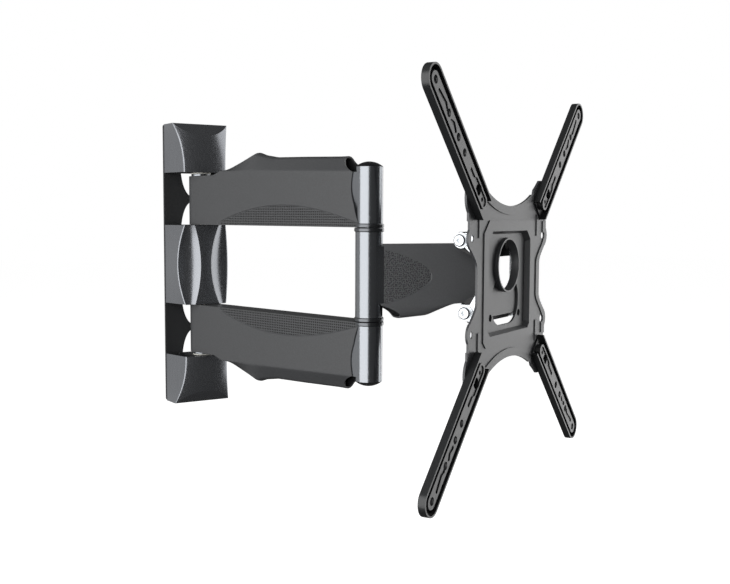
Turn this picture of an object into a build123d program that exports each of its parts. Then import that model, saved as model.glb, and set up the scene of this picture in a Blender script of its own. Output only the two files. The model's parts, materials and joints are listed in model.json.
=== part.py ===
"""Full-motion wall mount for a flat television, in millimetres.

The steel wall plate carries two hinge bays. Two parallel rear arms swing in them and share one column
with a short front arm, which carries a swivel yoke, a tilting head plate and four adapter arms for the
VESA hole patterns. Plastic covers clip over the plate and the arms and form cable ducts.

Frame: the origin is the centre of the wall plate's back face, -Y points out of the wall, +Z is up.
Each moving body is modelled in a frame of its own and set in its rest pose by one location:
  arms  x along the arm from its axis, y across its thickness, z up
  head  x along the plate's width, -y towards the television, z up
"""
import os
from math import atan2, cos, degrees, hypot, radians, sin

from build123d import *

# Rest pose: yaw of each body from straight out of the wall, turning towards +X
REAR_ARM_YAW = 14.0
FRONT_ARM_YAW = 81.0
HEAD_YAW = 27.0

# Clearances
RUNNING = 0.05          # radial, pin or shaft in a bush that turns on it
THROUGH = 0.2           # radial, bolt through a plain hole
AXIAL = 0.1             # between flat faces that turn on each other
PART_GAP = 0.4          # between covers and the metal they clip over
SLOT_GAP = 0.35         # radial, clamp bolt in its curved slot

# Wall plate and hinge brackets
PLATE_WIDTH = 78.0
PLATE_HEIGHT = 360.0
PLATE_THICKNESS = 3.0
PLATE_CORNER = 3.0
WINDOW_HALF_WIDTH = 16.0
WINDOW_BRIDGE = 7.0     # strip left between the two windows of a bay
WINDOW_HIDDEN = 10.0    # run of each window behind its cover
LAG_SLOT_WIDTH = 9.0
LAG_SLOT_LENGTH = 20.0
LAG_SPACING_X = 40.0
LAG_SPACING_Z = 324.0
PIVOT_STANDOFF = 33.0   # arm axis out from the wall
BAY_INNER_Z = 51.0      # inner end of each hinge bay
BAY_HEIGHT = 66.5
EAR_THICKNESS = 4.0
EAR_RADIUS = 13.5
BRACKET_WIDTH = 44.0
BRACKET_WEB = 3.0
BRACKET_LENGTH = 30.0

# Fasteners
PIVOT_BOLT_RADIUS = 5.0
BOLT_HEAD_RADIUS = 8.5
BOLT_HEAD_HEIGHT = 6.0
NUT_FLAT_RADIUS = 8.0
NUT_HEIGHT = 7.0
THREAD_TAIL = 3.0
WASHER_THICKNESS = 1.5
WASHER_RADIUS = 12.5
BUSH_RADIUS = 8.0
BUSH_LENGTH = 14.0

# Arms and column
REAR_ARM_LENGTH = 300.0
FRONT_ARM_LENGTH = 130.0
BARREL_RADIUS = 12.5
BEAM_HEIGHT = 44.0
BEAM_WIDTH = 16.0
BEAM_WALL = 2.0
COLUMN_RADIUS = 15.0
NECK_LENGTH = 26.0      # casting that joins each arm beam to the column, from the column's axis
NECK_HALF_WIDTH = 14.6
NECK_TOP = 27.0         # above the rear arm's middle
NECK_BOTTOM = -28.0
FRONT_NECK_HALF_HEIGHT = 31.0
COLUMN_WALL = 3.0
COLUMN_END_GAP = 0.5    # column top above the hinge bay's outer end, negative side
COLLAR_RADIUS = 16.2
COLLAR_HEIGHT = 4.2
COLLAR_GAP = 0.3
SPINDLE_RADIUS = 6.0
SPINDLE_HEAD_RADIUS = 10.0
SPINDLE_RECESS = 7.0    # from the tube's end down to the spindle's head
SPINDLE_NUT_RADIUS = 9.0
COLUMN_BUSH_LENGTH = 12.0
CAP_RISE = 5.5
CAP_PLUG = 4.0

# Arm covers
COVER_HALF_THICKNESS = 15.0
COVER_WALL = 2.0
COVER_DUCT_HALF = 9.5   # half thickness at the top of the flared duct
REAR_CREASE_Z = 33.25   # crease above the arm's middle, at the axis end
REAR_CREASE_DROP = 6.5  # how much the crease falls by the column
FIN_START = 46.0
FIN_TIP = 117.0
FIN_TIP_Z = 54.5
FIN_SHOULDER = 151.0
FIN_SHOULDER_Z = 48.3
DUCT_END_Z = 45.3
FRONT_COVER_HALF_HEIGHT = 33.0
FRONT_FLARE = 15.5
FRONT_FLARE_START = 33.0
FRONT_FLARE_END = 69.0
FRONT_FLARE_OUT = 100.0

# Wall covers
COVER_BASE_HALF = 38.5
COVER_TOP_DEPTH = 30.0
COVER_NOTCH_DEPTH = 46.0
COVER_CROWN_DEPTH = 50.0
COVER_CROWN_LEAN = 6.0  # how far the crown leans back over an end cover's height
COVER_END_CROWN_HALF = 12.0
COVER_MIDDLE_CROWN_HALF = 16.5
WAIST_CROWN_HALF = 7.0
COVER_TOP_HALF = 37.5
COVER_NOTCH_HALF = 28.5
COVER_WAIST_DEPTH = 37.0
COVER_WAIST_HALF = 35.0
COVER_SECTIONS = 5
COVER_ROOF_START = 1.0  # least step from the roof edge to the crown at the far end

# Swivel yoke
YOKE_SETBACK = 45.0     # swivel axis behind the head plate's front
YOKE_WEB_FRONT = 20.0
YOKE_WEB = 3.5
YOKE_HALF_WIDTH = 44.5
YOKE_CHEEK = 3.5
YOKE_SPINE_HALF = 9.0
YOKE_WINDOW_TOP = 27.0
YOKE_WINDOW_BOTTOM = -12.0
YOKE_TOP = 56.0
YOKE_BOTTOM = -44.0
YOKE_CORNER = 36.0      # height below which the cheeks join the web
YOKE_NUT_BAY = 12.0     # room for the clamp nuts beside the web
YOKE_FLANGE = 2.0       # how far the cheeks stand before the web beside the clamp nuts
SWIVEL_BARREL_HALF = 32.0
TILT_BOLT_RADIUS = 4.0
TILT_WASHER_RADIUS = 8.8
TILT_HEAD_RADIUS = 7.0
TILT_HEAD_HEIGHT = 4.5
TILT_SOCKET_RADIUS = 2.9
TILT_NUT_RADIUS = 6.5
TILT_NUT_HEIGHT = 5.5
TILT_AXIS = (31.5, -33.0)
CLAMP_POINT = (38.0, 46.5)
TILT_BACK = 3.0
TILT_FORWARD = 10.0
TILT_LOBE = 9.0
TILT_LOBE_TRIM = 1.0     # how much smaller the ear is than the cheek round the clamp bolt
TILT_THREAD = 1.0       # bolt thread past its nut
TILT_SOCKET_FLOOR = 1.0  # head left under the socket

# Head plate
HEAD_BELOW_ARMS = 9.0
SHEET = 2.5
WAIST_HALF = 88.0
SHOULDER_Z = 98.0
EAR_CENTRE = (91.0, 92.0)
HEAD_EAR_RADIUS = 23.0
LOBE_CENTRE = (98.0, 50.0)
LOBE_RADIUS = 13.5
LOBE_BRIDGE_OUT = 108.0
FLARE_END_Z = 18.0      # where the waist's straight edge begins
FLARE_STEPS = 10
VALLEY_Z = 84.3
VALLEY_RADIUS = 140.0
RIM = 9.5
RIM_STEP = 1.2
FRAME_HALF = (71.0, 68.5)
FRAME_CORNER = 14.0
PAN_HALF = (60.0, 58.0)
PAN_CORNER = 10.0
PAN_DEPTH = 6.0
PAN_DRAFT = 4.5
SLOT_HALF = 38.0
SLOT_TOP = 5.0
SLOT_BOTTOM = -48.0
SLOT_CORNER = 25.0
RING_CENTRE_Z = 18.6
RING_RADIUS = 28.5
RING_WALL = 1.8
RING_FRONT = 1.5
BACK_PLATE_HALF = 50.0
BACK_PLATE_TOP = 54.0
BACK_PLATE_BOTTOM = -37.0
RIVET_PLACE = (40.0, -38.0)
RIVET_RADIUS = 4.0
RIVET_BORDER = 1.5
TILT_EAR_THICKNESS = 3.5
TILT_EAR_FOOT = 9.0
VESA_HOLE_RADIUS = 4.2
VESA_CORE_X = 200.0
VESA_CORE_Z = 100.0

# Adapter arms, in a frame with x outwards from the pivot
VESA_OUTER = 400.0
VESA_MIDDLE = 300.0
ADAPTER_PIVOT = 99.7
ADAPTER_FACE = 6.3      # front of the raised rib, before the head plate's front
ADAPTER_RIM = 7.1       # front edge of the side walls
ADAPTER_SHEET = 2.0
ADAPTER_WIDTH = 30.0
ADAPTER_RIB_WIDTH = 15.0
ADAPTER_RIB_WALL = 1.4
ADAPTER_TAIL = 28.6
ADAPTER_RIB_TAIL = 24.6
ADAPTER_TIP_RADIUS = 16.0
ADAPTER_RIB_TIP = 8.5
ADAPTER_EXTRA_HOLES = (51.0, 101.6)
ADAPTER_LOCATING = -13.5
ADAPTER_POCKET_HALF = 5.4
ADAPTER_POCKET_END = 16.0
ADAPTER_NECK_END = 30.0
ADAPTER_LOCATING_RADIUS = 2.4
ADAPTER_GROOVE = 1.2
ADAPTER_GROOVE_WIDTH = 4.6
ADAPTER_GROOVE_SWAY = 1.5   # how far a groove's line leaves the middle of the rib
ADAPTER_GROOVE_STEPS = (12.0, 30.0, 35.0)   # outer groove, back from the outermost hole
ADAPTER_SHORT_STEPS = (9.0, 15.0, 22.0)     # inner groove, back from the second hole
BOSS_RADIUS = 14.0
PIVOT_SCREW_RADIUS = 3.0
PIVOT_SCREW_HEAD = 5.4
PIVOT_SCREW_HEAD_HEIGHT = 1.8
PIVOT_NUT_RADIUS = 5.5
PIVOT_NUT_HEIGHT = 4.0

# Worked out from the sizes above
BAY_OUTER_Z = BAY_INNER_Z + BAY_HEIGHT
BAY_MIDDLE_Z = BAY_INNER_Z + BAY_HEIGHT / 2
BARREL_HEIGHT = BAY_HEIGHT - 2 * (WASHER_THICKNESS + AXIAL)
COLUMN_END_Z = BAY_OUTER_Z - COLUMN_END_GAP
COLUMN_JOINT_Z = BAY_INNER_Z + COLLAR_GAP / 2
SLEEVE_RADIUS = COLUMN_RADIUS - COLUMN_WALL
SWIVEL_EAR_Z = SWIVEL_BARREL_HALF + AXIAL + WASHER_THICKNESS
BACK_PLATE_FRONT = PAN_DEPTH + SHEET
TILT_EAR_INNER = YOKE_HALF_WIDTH + 2 * AXIAL
ADAPTER_BACK = RIM_STEP - AXIAL
ADAPTER_FLOOR = ADAPTER_BACK - ADAPTER_SHEET
EAR_FIELD_RADIUS = hypot(ADAPTER_TAIL, ADAPTER_WIDTH / 2) + PART_GAP
EAR_BACK = RIM_STEP + SHEET
ADAPTER_TIP = (VESA_OUTER / 2 - ADAPTER_PIVOT) * 2 ** 0.5
ADAPTER_MIDDLE = (VESA_MIDDLE / 2 - ADAPTER_PIVOT) * 2 ** 0.5


def yawed(x, y, z, yaw):
    """Location whose x axis points along a yaw measured from -Y towards +X."""
    return Location((x, y, z), (0, 0, yaw - 90))


def step_out(start, length, yaw):
    """Point reached from start by a length along a yaw."""
    return start[0] + length * sin(radians(yaw)), start[1] - length * cos(radians(yaw))


PIVOT_POINT = (0.0, -PIVOT_STANDOFF)
COLUMN_POINT = step_out(PIVOT_POINT, REAR_ARM_LENGTH, REAR_ARM_YAW)
SWIVEL_POINT = step_out(COLUMN_POINT, FRONT_ARM_LENGTH, FRONT_ARM_YAW)
HEAD_POINT = step_out(SWIVEL_POINT, YOKE_SETBACK, HEAD_YAW)

WALL_FRAME = Location((0, 0, 0))
REAR_FRAME = yawed(*PIVOT_POINT, 0, REAR_ARM_YAW)
FRONT_FRAME = yawed(*COLUMN_POINT, 0, FRONT_ARM_YAW)
HEAD_FRAME = Location((HEAD_POINT[0], HEAD_POINT[1], -HEAD_BELOW_ARMS), (0, 0, HEAD_YAW))
SWIVEL_IN_HEAD = Pos(0, YOKE_SETBACK, HEAD_BELOW_ARMS)


def upright(sketch, bottom, height):
    """Solid of a plan sketch from a bottom height up."""
    return Pos(0, 0, bottom) * extrude(sketch, height)


def facing(sketch, front, depth):
    """Solid of an elevation sketch, x and z, from its front y back by a depth."""
    return Pos(0, front + depth, 0) * extrude(Plane.XZ * sketch, depth)


def sideways(sketch, inner, thickness):
    """Solid of a side-view sketch, y and z, from an inner x outwards."""
    return Pos(inner, 0, 0) * extrude(Plane.YZ * sketch, thickness)


def tube(radius, bore, bottom, height):
    """Upright ring."""
    return upright(Circle(radius) - Circle(bore), bottom, height)


def hex_nut(flat_radius, bore, bottom, height):
    """Upright hexagon nut."""
    return upright(RegularPolygon(flat_radius, 6, major_radius=False) - Circle(bore), bottom, height)


def outline(points):
    """Sketch of a closed polygon."""
    return make_face(Polyline(*points, close=True))


def mirrored(part):
    """The same part upside down, for the lower of a pair."""
    return mirror(part, about=Plane.XY)


def pair(part):
    """A part and its copy upside down, as separate solids."""
    return Compound(children=[*part.solids(), *mirrored(part).solids()])


def sides(part):
    """A part and its left-to-right copy, as separate solids."""
    return Compound(children=[*part.solids(), *mirror(part, about=Plane.YZ).solids()])


# ---- wall bracket -------------------------------------------------------------------------------

def wall_plate():
    """Flat steel plate with two half-ellipse windows in each hinge bay and four slots for lag screws."""
    plate = RectangleRounded(PLATE_WIDTH, PLATE_HEIGHT, PLATE_CORNER)
    for side in (1, -1):
        for square_end, tip in (
            (BAY_INNER_Z - WINDOW_HIDDEN, BAY_MIDDLE_Z - WINDOW_BRIDGE / 2),
            (BAY_OUTER_Z + WINDOW_HIDDEN, BAY_MIDDLE_Z + WINDOW_BRIDGE / 2),
        ):
            length = abs(tip - square_end)
            half_ellipse = Pos(0, side * square_end) * Ellipse(WINDOW_HALF_WIDTH, length)
            half_ellipse &= Pos(0, side * (square_end + tip) / 2) * Rectangle(2 * WINDOW_HALF_WIDTH, length)
            plate -= half_ellipse
        for x in (-LAG_SPACING_X / 2, LAG_SPACING_X / 2):
            plate -= Pos(x, side * LAG_SPACING_Z / 2) * SlotOverall(LAG_SLOT_LENGTH, LAG_SLOT_WIDTH)
    return facing(plate, -PLATE_THICKNESS, PLATE_THICKNESS)


def hinge_ear(bottom):
    """Level ear that carries one end of a pivot bolt."""
    reach = PIVOT_STANDOFF - PLATE_THICKNESS
    ear = Pos(0, -PLATE_THICKNESS - reach / 2) * Rectangle(2 * EAR_RADIUS, reach)
    ear += Pos(*PIVOT_POINT) * Circle(EAR_RADIUS)
    ear -= Pos(*PIVOT_POINT) * Circle(PIVOT_BOLT_RADIUS + THROUGH)
    return upright(ear, bottom, EAR_THICKNESS)


def hinge_web(bottom, top):
    """Upright web of a hinge bracket, spot-welded to the wall plate."""
    web = Pos(0, (bottom + top) / 2) * Rectangle(BRACKET_WIDTH, top - bottom)
    return facing(web, -PLATE_THICKNESS - BRACKET_WEB, BRACKET_WEB)


def outer_hinge_bracket():
    """Bent bracket behind an end cover: web and one ear."""
    return hinge_web(BAY_OUTER_Z, BAY_OUTER_Z + BRACKET_LENGTH) + hinge_ear(BAY_OUTER_Z)


def middle_hinge_bracket():
    """Bent bracket behind the middle cover: web and two ears."""
    ear = hinge_ear(BAY_INNER_Z - EAR_THICKNESS)
    return hinge_web(-BAY_INNER_Z, BAY_INNER_Z) + ear + mirrored(ear)


def pivot_bolt():
    """Bolt through both ears of a bay, its head on the outer ear."""
    nut_bottom = BAY_INNER_Z - EAR_THICKNESS - NUT_HEIGHT
    bottom = nut_bottom - THREAD_TAIL
    head_bottom = BAY_OUTER_Z + EAR_THICKNESS
    bolt = upright(Circle(PIVOT_BOLT_RADIUS), bottom, head_bottom - bottom)
    bolt += upright(RegularPolygon(BOLT_HEAD_RADIUS, 6, major_radius=False), head_bottom, BOLT_HEAD_HEIGHT)
    return Pos(*PIVOT_POINT) * bolt


def pivot_nut():
    """Lock nut under the inner ear of a bay."""
    bottom = BAY_INNER_Z - EAR_THICKNESS - NUT_HEIGHT
    return Pos(*PIVOT_POINT) * hex_nut(NUT_FLAT_RADIUS, PIVOT_BOLT_RADIUS, bottom, NUT_HEIGHT)


def pivot_washers():
    """Nylon washers on the two ear faces of a bay."""
    washers = [
        tube(WASHER_RADIUS, PIVOT_BOLT_RADIUS + THROUGH, bottom, WASHER_THICKNESS)
        for bottom in (BAY_INNER_Z, BAY_OUTER_Z - WASHER_THICKNESS)
    ]
    return Pos(*PIVOT_POINT) * Compound(children=washers)


def cover_section(front_half, depth, crown_half, crown_depth, height, inset):
    """Level section of a wall cover: back corners, front corners and the flat crown between them."""
    base = COVER_BASE_HALF - inset
    half = front_half - inset
    return Plane.XY.offset(height) * outline([
        (-base, -PLATE_THICKNESS),
        (base, -PLATE_THICKNESS),
        (half, -depth + inset),
        (crown_half, -crown_depth + inset),
        (-crown_half, -crown_depth + inset),
        (-half, -depth + inset),
    ])


def end_cover_solid(inset, low, high):
    """Filled form of an end cover: wide and shallow at its far end, narrow and deep at the hinge bay."""
    roof = COVER_TOP_DEPTH + COVER_ROOF_START
    sections = []
    for step in range(COVER_SECTIONS):
        along = step / (COVER_SECTIONS - 1)
        swell = 1 - (1 - along) ** 2
        sections.append(cover_section(
            COVER_TOP_HALF + (COVER_NOTCH_HALF - COVER_TOP_HALF) * swell,
            COVER_TOP_DEPTH + (COVER_NOTCH_DEPTH - COVER_TOP_DEPTH) * swell,
            COVER_END_CROWN_HALF,
            min(COVER_CROWN_DEPTH - COVER_CROWN_LEAN * (1 - along), roof + (high - low) * along),
            high + (low - high) * along,
            inset,
        ))
    return loft(sections, ruled=True)


def end_cover():
    """Moulded cover over the plate beyond a hinge bay, open to the wall, with a slot round the ear."""
    low = BAY_OUTER_Z + PART_GAP
    high = PLATE_HEIGHT / 2
    cover = end_cover_solid(0, low, high) - end_cover_solid(COVER_WALL, low + COVER_WALL, high - COVER_WALL)
    slot = Pos(0, -PIVOT_STANDOFF / 2) * Rectangle(2 * (EAR_RADIUS + PART_GAP), PIVOT_STANDOFF)
    slot += Pos(*PIVOT_POINT) * Circle(EAR_RADIUS + PART_GAP)
    cover -= upright(slot, low - COVER_WALL, 3 * COVER_WALL)
    web = Pos(0, -PLATE_THICKNESS) * Rectangle(BRACKET_WIDTH + 2 * PART_GAP, 2 * BRACKET_WEB + 2 * PART_GAP)
    return cover - upright(web, low - COVER_WALL, 3 * COVER_WALL)


def middle_cover_solid(inset, half_height):
    """Filled form of the middle cover: waisted, deepest at both ends."""
    sections = []
    for step in range(2 * COVER_SECTIONS - 1):
        along = step / (COVER_SECTIONS - 1) - 1
        swell = along * along
        sections.append(cover_section(
            COVER_WAIST_HALF + (COVER_NOTCH_HALF - COVER_WAIST_HALF) * swell,
            COVER_WAIST_DEPTH + (COVER_NOTCH_DEPTH - COVER_WAIST_DEPTH) * swell,
            WAIST_CROWN_HALF + (COVER_MIDDLE_CROWN_HALF - WAIST_CROWN_HALF) * swell,
            COVER_CROWN_DEPTH,
            along * half_height,
            inset,
        ))
    return loft(sections, ruled=True)


def middle_cover():
    """Moulded cover between the hinge bays, with slots round both ears."""
    half_height = BAY_INNER_Z - PART_GAP
    cover = middle_cover_solid(0, half_height) - middle_cover_solid(COVER_WALL, half_height - COVER_WALL)
    slot = Pos(0, -PIVOT_STANDOFF / 2) * Rectangle(2 * (EAR_RADIUS + PART_GAP), PIVOT_STANDOFF)
    slot += Pos(*PIVOT_POINT) * Circle(EAR_RADIUS + PART_GAP)
    cover -= upright(slot, -BAY_INNER_Z, 2 * BAY_INNER_Z)
    web = Pos(0, -PLATE_THICKNESS) * Rectangle(BRACKET_WIDTH + 2 * PART_GAP, 2 * BRACKET_WEB + 2 * PART_GAP)
    return cover - upright(web, -BAY_INNER_Z, 2 * BAY_INNER_Z)


# ---- rear arms and column -----------------------------------------------------------------------

def box_beam(length, middle_z, start_solid, end_solid):
    """Rectangular steel tube between two upright barrels; returns outside and inside."""
    centre = Pos(length / 2, 0, middle_z)
    outside = centre * Box(length, BEAM_WIDTH, BEAM_HEIGHT)
    bore = (BEAM_WIDTH - 2 * BEAM_WALL, BEAM_HEIGHT - 2 * BEAM_WALL)
    inside = centre * Box(length - start_solid - end_solid, *bore)
    return outside, Pos((start_solid - end_solid) / 2, 0, 0) * inside


def neck(side, bottom, top):
    """Casting from the column's axis towards one side, as thick as the column."""
    block = Pos(side * NECK_LENGTH / 2, 0) * Rectangle(NECK_LENGTH, 2 * NECK_HALF_WIDTH)
    return upright(block, bottom, top - bottom)


def rear_arm_frame():
    """Welded steel rear arm: pivot barrel, box beam and its segment of the column."""
    outside, inside = box_beam(REAR_ARM_LENGTH, BAY_MIDDLE_Z, BARREL_RADIUS, NECK_LENGTH)
    barrel_bottom = BAY_MIDDLE_Z - BARREL_HEIGHT / 2
    tube_bottom = COLUMN_JOINT_Z + COLLAR_HEIGHT
    tube_height = COLUMN_END_Z - tube_bottom
    column = Pos(REAR_ARM_LENGTH, 0, 0)
    frame = outside + upright(Circle(BARREL_RADIUS), barrel_bottom, BARREL_HEIGHT)
    frame += column * upright(Circle(COLUMN_RADIUS), tube_bottom, tube_height)
    frame += column * neck(-1, BAY_MIDDLE_Z + NECK_BOTTOM, BAY_MIDDLE_Z + NECK_TOP)
    frame -= inside
    frame -= upright(Circle(BUSH_RADIUS), barrel_bottom, BARREL_HEIGHT)
    return frame - column * upright(Circle(SLEEVE_RADIUS), tube_bottom, tube_height)


def pivot_bushes():
    """Bronze bushes in both ends of a rear arm's barrel."""
    bottom = BAY_MIDDLE_Z - BARREL_HEIGHT / 2
    bore = PIVOT_BOLT_RADIUS + RUNNING
    low = tube(BUSH_RADIUS, bore, bottom, BUSH_LENGTH)
    return Compound(children=[low, Pos(0, 0, BARREL_HEIGHT - BUSH_LENGTH) * low])


def rear_cover_points(inset, past_end):
    """Side view of a rear arm cover, heights from the arm's middle: flat end, fin, then the cable duct."""
    start = -2 * COVER_HALF_THICKNESS
    end = REAR_ARM_LENGTH - NECK_LENGTH - PART_GAP + past_end
    low = -REAR_CREASE_Z + PART_GAP + inset
    high = REAR_CREASE_Z - REAR_CREASE_DROP / 2 - inset
    return [
        (start, low),
        (end, low),
        (end, DUCT_END_Z - inset),
        (FIN_SHOULDER, FIN_SHOULDER_Z - inset),
        (FIN_TIP, FIN_TIP_Z - inset),
        (FIN_START, high),
        (start, high),
    ]


def cover_plan(length, inset):
    """Plan of an arm cover: round over the barrel, straight, and open at the column."""
    half = COVER_HALF_THICKNESS - inset
    return Pos(length / 2, 0) * Rectangle(length, 2 * half) + Circle(half)


def rear_cover_half():
    """Moulded half cover of the upper rear arm, on the -y side, with the cable duct above the beam."""
    length = REAR_ARM_LENGTH - NECK_LENGTH - PART_GAP
    reach = 4 * COVER_HALF_THICKNESS
    outer = facing(outline(rear_cover_points(0, 0)), -COVER_HALF_THICKNESS, COVER_HALF_THICKNESS)
    outer &= upright(cover_plan(length, 0), -reach, 2 * reach)
    room = outline(rear_cover_points(COVER_WALL, COVER_WALL))
    inner = facing(room, -COVER_HALF_THICKNESS, COVER_HALF_THICKNESS)
    inner &= upright(cover_plan(length + COVER_WALL, COVER_WALL), -reach, 2 * reach)
    bevel = outline([
        (-COVER_HALF_THICKNESS, REAR_CREASE_Z),
        (-COVER_HALF_THICKNESS - COVER_WALL, REAR_CREASE_Z),
        (-COVER_HALF_THICKNESS - COVER_WALL, FIN_TIP_Z + COVER_WALL),
        (-COVER_DUCT_HALF, FIN_TIP_Z + COVER_WALL),
    ])
    outer -= sideways(bevel, -reach, REAR_ARM_LENGTH + 2 * reach)
    inner -= Pos(0, COVER_WALL, -COVER_WALL / 2) * sideways(bevel, -reach, REAR_ARM_LENGTH + 2 * reach)
    barrel = upright(Circle(BARREL_RADIUS + PART_GAP), -reach, 2 * reach)
    return Pos(0, 0, BAY_MIDDLE_Z) * (outer - inner - barrel)


def cover_far(half):
    """The other half of a cover, mirrored in the joint line."""
    return mirror(half, about=Plane.XZ)


def column_end_bushes():
    """Flanged bushes in both ends of the upper column segment; the lower flange shows as a collar."""
    bore = SPINDLE_RADIUS + THROUGH
    collar = tube(COLLAR_RADIUS, bore, COLUMN_JOINT_Z, COLLAR_HEIGHT)
    collar += tube(SLEEVE_RADIUS, bore, COLUMN_JOINT_Z + COLLAR_HEIGHT, COLUMN_BUSH_LENGTH)
    plug_top = COLUMN_END_Z - CAP_PLUG - SPINDLE_RECESS
    plug = tube(SLEEVE_RADIUS, bore, plug_top - COLUMN_BUSH_LENGTH, COLUMN_BUSH_LENGTH)
    return Pos(REAR_ARM_LENGTH, 0, 0) * Compound(children=[collar, plug])


def column_spindle():
    """Long bolt through all three column segments, head at the top."""
    seat = COLUMN_END_Z - CAP_PLUG - SPINDLE_RECESS
    spindle = upright(Circle(SPINDLE_RADIUS), -seat - SPINDLE_RECESS, 2 * seat + SPINDLE_RECESS)
    spindle += upright(Circle(SPINDLE_HEAD_RADIUS), seat, SPINDLE_RECESS - AXIAL)
    return Pos(REAR_ARM_LENGTH, 0, 0) * spindle


def column_spindle_nut():
    """Lock nut on the spindle's lower end, inside the bottom segment."""
    seat = COLUMN_END_Z - CAP_PLUG - SPINDLE_RECESS
    bottom = -seat - SPINDLE_RECESS + AXIAL
    nut = hex_nut(SPINDLE_NUT_RADIUS, SPINDLE_RADIUS, bottom, SPINDLE_RECESS - AXIAL)
    return Pos(REAR_ARM_LENGTH, 0, 0) * nut


def column_cap():
    """Domed end cap that plugs the top of the column."""
    dome_radius = (COLUMN_RADIUS ** 2 + CAP_RISE ** 2) / (2 * CAP_RISE)
    dome = Pos(0, 0, COLUMN_END_Z + CAP_RISE - dome_radius) * Sphere(dome_radius)
    dome &= upright(Circle(COLUMN_RADIUS), COLUMN_END_Z, CAP_RISE)
    plug = upright(Circle(SLEEVE_RADIUS), COLUMN_END_Z - CAP_PLUG, CAP_PLUG)
    return Pos(REAR_ARM_LENGTH, 0, 0) * (dome + plug)


# ---- front arm ----------------------------------------------------------------------------------

def front_arm_frame():
    """Welded steel front arm: middle column segment, box beam and swivel barrel."""
    outside, inside = box_beam(FRONT_ARM_LENGTH, 0, NECK_LENGTH, BARREL_RADIUS)
    tube_half = COLUMN_JOINT_Z - COLLAR_GAP - COLLAR_HEIGHT
    swivel = Pos(FRONT_ARM_LENGTH, 0, 0)
    frame = outside + upright(Circle(COLUMN_RADIUS), -tube_half, 2 * tube_half)
    frame += swivel * upright(Circle(BARREL_RADIUS), -SWIVEL_BARREL_HALF, 2 * SWIVEL_BARREL_HALF)
    frame += neck(1, -FRONT_NECK_HALF_HEIGHT, FRONT_NECK_HALF_HEIGHT)
    frame -= inside
    frame -= upright(Circle(SLEEVE_RADIUS), -tube_half, 2 * tube_half)
    return frame - swivel * upright(Circle(BUSH_RADIUS), -SWIVEL_BARREL_HALF, 2 * SWIVEL_BARREL_HALF)


def middle_column_bushes():
    """Flanged bushes in both ends of the middle column segment, which turn on the spindle."""
    tube_half = COLUMN_JOINT_Z - COLLAR_GAP - COLLAR_HEIGHT
    bore = SPINDLE_RADIUS + RUNNING
    bush = tube(COLLAR_RADIUS, bore, tube_half, COLLAR_HEIGHT)
    return pair(bush + tube(SLEEVE_RADIUS, bore, tube_half - COLUMN_BUSH_LENGTH, COLUMN_BUSH_LENGTH))


def swivel_bushes():
    """Bushes in both ends of the swivel barrel."""
    bore = PIVOT_BOLT_RADIUS + RUNNING
    return Pos(FRONT_ARM_LENGTH, 0, 0) * pair(
        tube(BUSH_RADIUS, bore, SWIVEL_BARREL_HALF - BUSH_LENGTH, BUSH_LENGTH))


def front_cover_points(inset):
    """Side view of the front arm cover: straight top, and a flared duct under the column end."""
    start = NECK_LENGTH + PART_GAP
    end = FRONT_ARM_LENGTH + 2 * COVER_HALF_THICKNESS
    half = FRONT_COVER_HALF_HEIGHT - inset
    return [
        (start, half),
        (start, -half),
        (FRONT_FLARE_START, -half - FRONT_FLARE),
        (FRONT_FLARE_END, -half - FRONT_FLARE + COVER_WALL),
        (FRONT_FLARE_OUT, -half),
        (end, -half),
        (end, half),
    ]


def front_cover_half():
    """Moulded half cover of the front arm, on the -y side."""
    start = NECK_LENGTH + PART_GAP
    reach = 4 * COVER_HALF_THICKNESS
    swivel = Pos(FRONT_ARM_LENGTH, 0, 0)
    slab = facing(outline(front_cover_points(0)), -COVER_HALF_THICKNESS, COVER_HALF_THICKNESS)
    run = Pos((start + FRONT_ARM_LENGTH) / 2, 0)
    plan = run * Rectangle(FRONT_ARM_LENGTH - start, 2 * COVER_HALF_THICKNESS)
    plan += Pos(FRONT_ARM_LENGTH, 0) * Circle(COVER_HALF_THICKNESS)
    outer = slab & upright(plan, -reach, 2 * reach)
    half = COVER_HALF_THICKNESS - COVER_WALL
    room = Pos(FRONT_ARM_LENGTH / 2, 0) * Rectangle(FRONT_ARM_LENGTH, 2 * half)
    room += Pos(FRONT_ARM_LENGTH, 0) * Circle(half)
    inner = facing(outline(front_cover_points(COVER_WALL)), -COVER_HALF_THICKNESS, COVER_HALF_THICKNESS)
    inner &= upright(room, -reach, 2 * reach)
    cover = outer - inner
    return cover - swivel * upright(Circle(half), -2 * SWIVEL_BARREL_HALF, 4 * SWIVEL_BARREL_HALF)


# ---- swivel yoke --------------------------------------------------------------------------------

def clamp_slot_sketch():
    """Curved slot, in y and z, that lets the clamp bolts follow the tilt."""
    reach = hypot(CLAMP_POINT[0] - TILT_AXIS[0], CLAMP_POINT[1] - TILT_AXIS[1])
    rest = degrees(atan2(CLAMP_POINT[1] - TILT_AXIS[1], CLAMP_POINT[0] - TILT_AXIS[0]))
    half = TILT_BOLT_RADIUS + SLOT_GAP
    path = CenterArc(TILT_AXIS, reach, rest - TILT_BACK, TILT_BACK + TILT_FORWARD)
    return SlotArc(path, 2 * half)


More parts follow.
